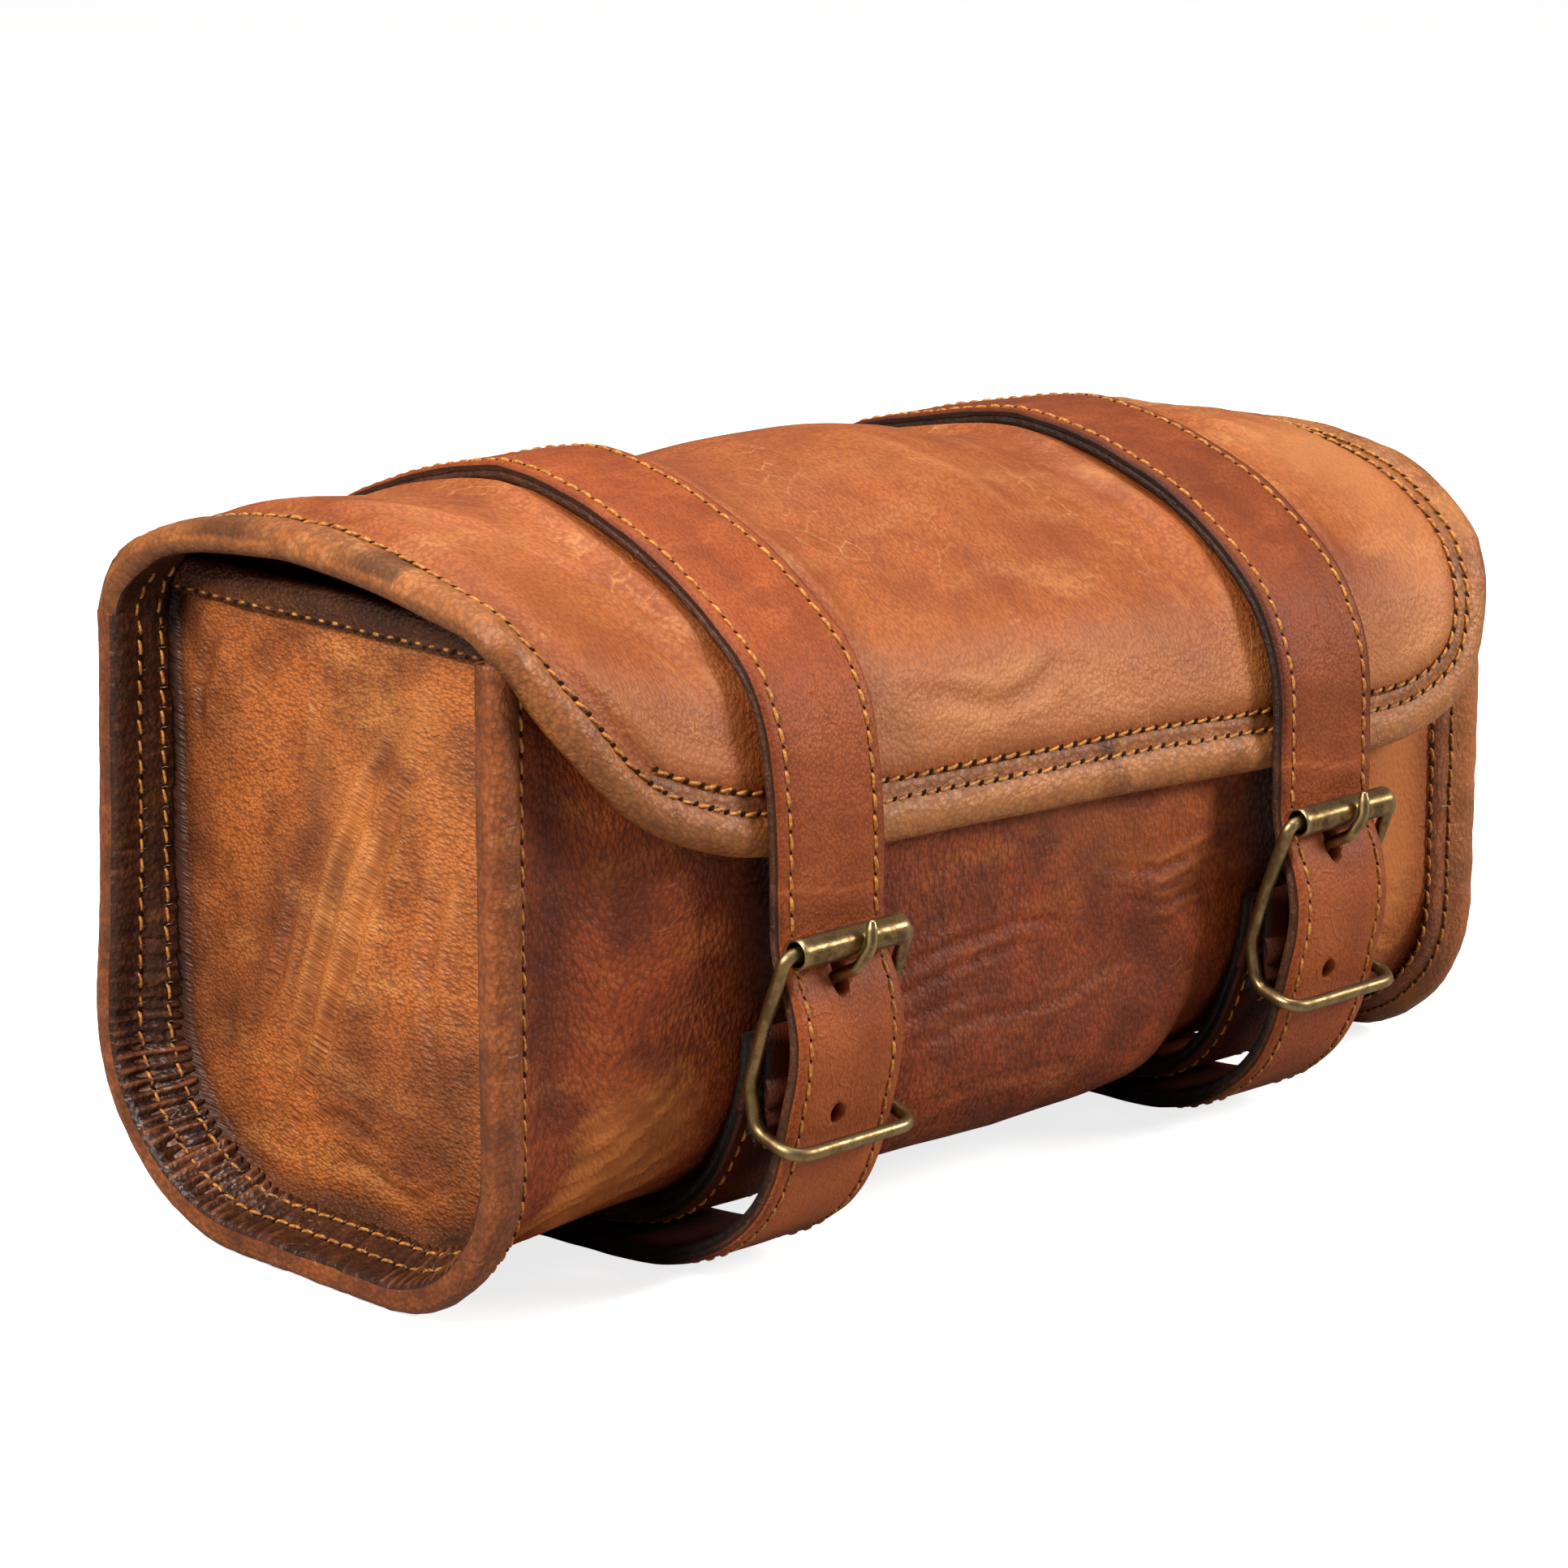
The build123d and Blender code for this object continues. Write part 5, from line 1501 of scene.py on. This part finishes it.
def make_strap_back(side, name):
    """The strap from its fold on the buckle's centre bar, under the bag and up the back."""
    x = side * STRAP_X
    gap = STRAP_BEDDING + STRAP_THICKNESS
    around = u_line(STRAP_X, gap, cad_high(f"strap_{name}_back")[2], 30.0)
    path = resample(around[::-1], 1.5)
    start = [(-77.3, 41.0), (-74.6, 35.0)]
    line = smooth_line(np.concatenate([start, path[1::6], path[-1:]]), 1.5)
    sag = (3.6 if side > 0 else 2.0) * bump_of(line[:, 0] + 50, 15) * ramp(-line[:, 1], -40, -22)
    line = line - left_of(line) * sag[:, None]
    along = lengths(line)
    drift = 0.6 * noise(along / 70, 1.5, 97)
    rings = strap_rings(line, x, drift)
    flat, tone = strap_paint(rings, along)
    kinds = strap_kinds(rings)
    parts = [sweep_data(rings)]
    flats = [flat.reshape(-1, 2)]
    # Painted shade: darker all along, and darker still from the buckle down under the bag.
    tones = [(tone + 0.2 + 0.6 * ramp(-along, -120, -50)[:, None]).ravel()]
    # The thinned end goes round the bar, in two halves beside the prong.
    angle = np.radians(np.linspace(-150, 75, 22))
    wrap = 2.9
    bar_line = CENTRE_BAR + wrap * np.column_stack([np.sin(angle), np.cos(angle)])
    fold = resample(np.concatenate([[(-76.0, 36.5)], bar_line, [(-69.0, 38.0)]]), 0.8)
    outward = -left_of(fold)
    slot, thin = 2.9, 1.3
    for low, high in ((-STRAP_WIDTH / 2, PRONG_OFFSET - slot), (PRONG_OFFSET + slot, STRAP_WIDTH / 2)):
        section = [(low, 0.0), (high, 0.0), (high, -thin), (low, -thin)]
        ring = np.array([[(x + u, p[0] + o[0] * v, p[1] + o[1] * v) for u, v in section]
                         for p, o in zip(fold, outward)])
        part = sweep_data(ring)
        parts.append(part)
        flats.append(np.array([(p[0], p[2]) for p in part[0]]))
        # Painted shade: the end round the bar is almost black, between the frame and the strap.
        tones.append(np.full(len(part[0]), 0.9))
        kinds += [0] * len(part[1])
    points, faces = joined(parts)
    piece = make_piece(f"strap_{name}_back_leather", points, [f[::-1] for f in faces],
                       [STRAP_LEATHER, EDGE_LEATHER], np.concatenate(flats), np.concatenate(tones), kinds)
    with_bag(piece, "leather_strap", f"strap_{name}_back")
    sew_strap(f"strap_{name}_back", line, x + drift, STRAP_WIDTH / 2, slice(2, -2), thread_on_bag)


def make_loop(side, node):
    """A leather loop sewn to the back on both sides of the strap."""
    low, high = cad_low(node), cad_high(node)
    x = side * STRAP_X
    half = STRAP_WIDTH / 2
    thickness = 2.1
    face = high[1] - MID_Y
    panel = low[1] - MID_Y + thickness
    route = [(-half - 8.6, panel), (-half - 3.4, panel), (-half - 1.6, face - 1.4), (-half + 1.0, face),
             (half - 1.0, face), (half + 1.6, face - 1.4), (half + 3.4, panel), (half + 8.6, panel)]
    line = fillet_line(route, [1.5, 2.0, 2.0, 2.0, 2.0, 1.5], 0.9)
    outward = left_of(line)
    # Across the loop, 20 mm wide: up from its lower edge, and outwards.
    profile = [(0.3, -0.25), (1.2, 0.0), (10.0, 0.06), (18.8, 0.0), (19.7, -0.25), (20.0, -1.0), (19.7, -2.0),
               (10.0, -thickness), (0.3, -2.0), (0.0, -1.0)]
    rings = []
    for p, o in zip(line, outward):
        rings.append([(x + p[0] + o[0] * v, p[1] + o[1] * v, low[2] + u) for u, v in profile])
    points, faces = sweep_data(np.array(rings))
    along = lengths(line)
    flat = [(s, u) for s in along for u, _ in profile]
    tone = [0.4 if u < 0.5 or u > 19.5 else 0.0 for _ in line for u, _ in profile]
    piece = make_piece(f"{node}_leather", points, faces, [STRAP_LEATHER], flat, tone)
    with_bag(piece, "leather_strap", node)
    rows = []
    for edge in (-1, 1):
        column = x + edge * (half + 6.2)
        row = np.array([(column, panel + 0.02, z) for z in np.linspace(low[2] + 2, high[2] - 2, 20)])
        rows.append((row, np.tile([0.0, 1.0, 0.0], (20, 1))))
    sew(node, rows, thread_on_bag, pitch=3.6)


# ---------------------------------------------------------------- buckles
def make_buckle(side, name):
    """The frame, its roller and its prong, each on its own body."""
    x = side * STRAP_X
    half = FRAME_HALF_WIDTH
    profile = [tuple(ROLLER), (-78.6, 58.5), (-74.6, 46.0), (-76.4, 36.2), tuple(BOTTOM_BAR)]
    down = [(x - half, y, z) for y, z in profile]
    up = [(x + half, y, z) for y, z in reversed(profile)]
    middle = np.array([x, *ROLLER])
    corners = [middle] + down + up + [middle]
    radii = [2.6, 12.0, 8.0, 5.0, 5.2]
    line = fillet_line(corners, radii + radii[::-1])[:-1]
    thick = WIRE / 2 * (1 + 0.02 * noise(np.arange(len(line)) / 9, 0.5, 101))
    wire = sweep_data(tube_rings(line, thick, 20, closed=True, facets=0.018), closed_path=True)
    bar_line = np.array([(x + u, *CENTRE_BAR) for u in np.linspace(-half, half, 24)])
    bar = sweep_data(tube_rings(bar_line, WIRE / 2, 20, facets=0.018))
    points, faces = joined([wire, bar])
    piece = make_piece(f"buckle_{name}_frame", points, faces, [BRASS])
    on_body(piece, f"buckle_{name}", "antique_brass", f"buckle_frame_{name}")
    make_roller(x, name)
    make_prong(x + PRONG_OFFSET, name)


def make_roller(x, name):
    """A rolled tube, open at both ends, slightly faceted."""
    outer, inner, half = 3.25, 2.62, 15.0
    angle = circle(48)
    outline = [(-half + 0.25, inner), (-half, inner + 0.2), (-half, outer - 0.2), (-half + 0.3, outer)]
    outline += [(u, outer) for u in np.linspace(-half + 1.5, half - 1.5, 16)]
    outline += [(half - 0.3, outer), (half, outer - 0.2), (half, inner + 0.2), (half - 0.25, inner)]
    outline += [(u, inner) for u in np.linspace(half - 2, -half + 2, 6)]
    rings = []
    for u, radius in outline:
        facet = 0.045 * np.cos(7 * angle) + 0.02 * noise(angle * 3, u / 4, 102)
        r = radius + np.where(radius > 3.0, facet, 0)
        rings.append(at_x(x + u, ROLLER + np.column_stack([np.cos(angle) * r, np.sin(angle) * r])))
    points, faces = sweep_data(np.array(rings), closed_path=True)
    piece = make_piece(f"roller_{name}_tube", points, faces, [BRASS])
    on_body(piece, f"roller_{name}", "antique_brass", f"roller_{name}")


def make_prong(root, name):
    """A flat bent wire with an eye round the centre bar."""
    route = [(0, -76.9, 45.0), (0, -77.6, 56.0), (0.2, -78.4, 62.5), (0.8, -82.0, 66.6), (1.8, -88.0, 69.6),
             (3.2, -90.2, 74.0), (4.2, -89.3, 79.2)]
    line = fillet_line([(root + u, y, z) for u, y, z in route], [12.0, 6.0, 6.0, 4.0, 4.5], 0.5)
    along = lengths(line)
    radius = 1.3 * (0.62 + 0.38 * ramp(along[-1] - along, 0.0, 2.0))
    blade = sweep_data(tube_rings(line, radius, 16, flatten=0.9, facets=0.06))
    angle = circle(28)
    reach, wire = 2.65, 1.08
    eye_line = at_x(root, CENTRE_BAR + reach * np.column_stack([np.cos(angle), np.sin(angle)]))
    eye = sweep_data(tube_rings(eye_line, wire, 12, closed=True), closed_path=True)
    points, faces = joined([blade, eye])
    piece = make_piece(f"prong_{name}_wire", points, faces, [BRASS])
    on_body(piece, f"prong_{name}", "antique_brass", f"prong_{name}")


# ---------------------------------------------------------------- camera, floor and light
def make_camera():
    """The camera, 44 degrees round to the left from the bag's front and 14 degrees up."""
    data = bpy.data.cameras.new("camera")
    data.lens = 120.79
    data.sensor_width = 36.0
    data.clip_start = 0.05
    camera = add_object("camera", data)
    right = Vector((0.716756, -0.697323, 0.001285))
    up = Vector((0.166351, 0.172776, 0.970812))
    forward = Vector((0.677192, 0.695621, -0.239838))
    turn = Matrix((right, up, -forward)).transposed().to_4x4()
    camera.matrix_world = Matrix.Translation((-0.79848, -0.79497, 0.35929)) @ turn
    bpy.context.scene.camera = camera


def make_light(name, place, size, power, colour):
    """A soft lamp that faces the bag."""
    middle = Vector((0, 0.01, 0.08))
    data = bpy.data.lights.new(name, "AREA")
    data.shape = "RECTANGLE"
    data.size, data.size_y = size
    data.energy = power
    data.color = colour
    light = add_object(name, data)
    light.location = place
    light.rotation_euler = (middle - Vector(place)).to_track_quat("-Z", "Y").to_euler()


def make_studio():
    """A pale floor, a white surround and large soft lamps."""
    half, z = 6.0, -0.0006
    corners = [(-half, -half, z), (half, -half, z), (half, half, z), (-half, half, z)]
    mesh = bpy.data.meshes.new("floor")
    mesh.from_pydata(corners, [], [(0, 1, 2, 3)])
    floor = add_object("floor", mesh)
    paint = Paint("pale_floor")
    seen = paint.node("ShaderNodeLightPath").outputs["Is Camera Ray"]
    # The floor is white to the camera and darker to the bag.
    colour = paint.mix(seen, (0.32, 0.30, 0.28), (0.6, 0.6, 0.6))
    glow = paint.spread(seen, 0.0, 1.0, 0.0, 0.80)
    mesh.materials.append(paint.finish(Base_Color=colour, Roughness=0.9, Specular_IOR_Level=0.1,
                                       Emission_Color=(1, 1, 1, 1), Emission_Strength=glow))
    world = bpy.data.worlds.new("studio")
    bpy.context.scene.world = world
    world.use_nodes = True
    nodes, links = world.node_tree.nodes, world.node_tree.links
    background = nodes["Background"]
    path = nodes.new("ShaderNodeLightPath")
    strength = nodes.new("ShaderNodeMapRange")
    strength.inputs["To Min"].default_value = 0.17
    strength.inputs["To Max"].default_value = 1.0
    links.new(path.outputs["Is Camera Ray"], strength.inputs["Value"])
    links.new(strength.outputs["Result"], background.inputs["Strength"])
    background.inputs["Color"].default_value = (1, 1, 1, 1)
    make_light("lamp_left", (-1.35, -0.12, 1.15), (0.5, 0.5), 35, (1.0, 0.96, 0.90))
    make_light("lamp_right", (1.25, -1.3, 0.95), (0.55, 0.55), 29, (1.0, 0.97, 0.93))
    make_light("lamp_top", (0.15, 0.0, 1.55), (1.1, 0.7), 17, (1.0, 0.98, 0.95))
    bpy.context.scene.view_settings.view_transform = "Standard"


make_camera()
make_body()
make_mouth_binding()
for side, name, binding_width in ((-1, "left", 8.0), (1, "right", 15.0)):
    make_end_panel(side, name)
    make_end_hem(side, name)
    make_end_binding(side, name, binding_width)
make_lid()
make_lid_binding()
for side, name, top_line in ((-1, "left", STRAP_TOP_LEFT), (1, "right", STRAP_TOP_RIGHT)):
    make_strap_front(side, name, top_line)
    make_strap_back(side, name)
    make_loop(side, f"back_loop_{name}_upper")
    make_loop(side, f"back_loop_{name}_lower")
    make_buckle(side, name)
make_studio()
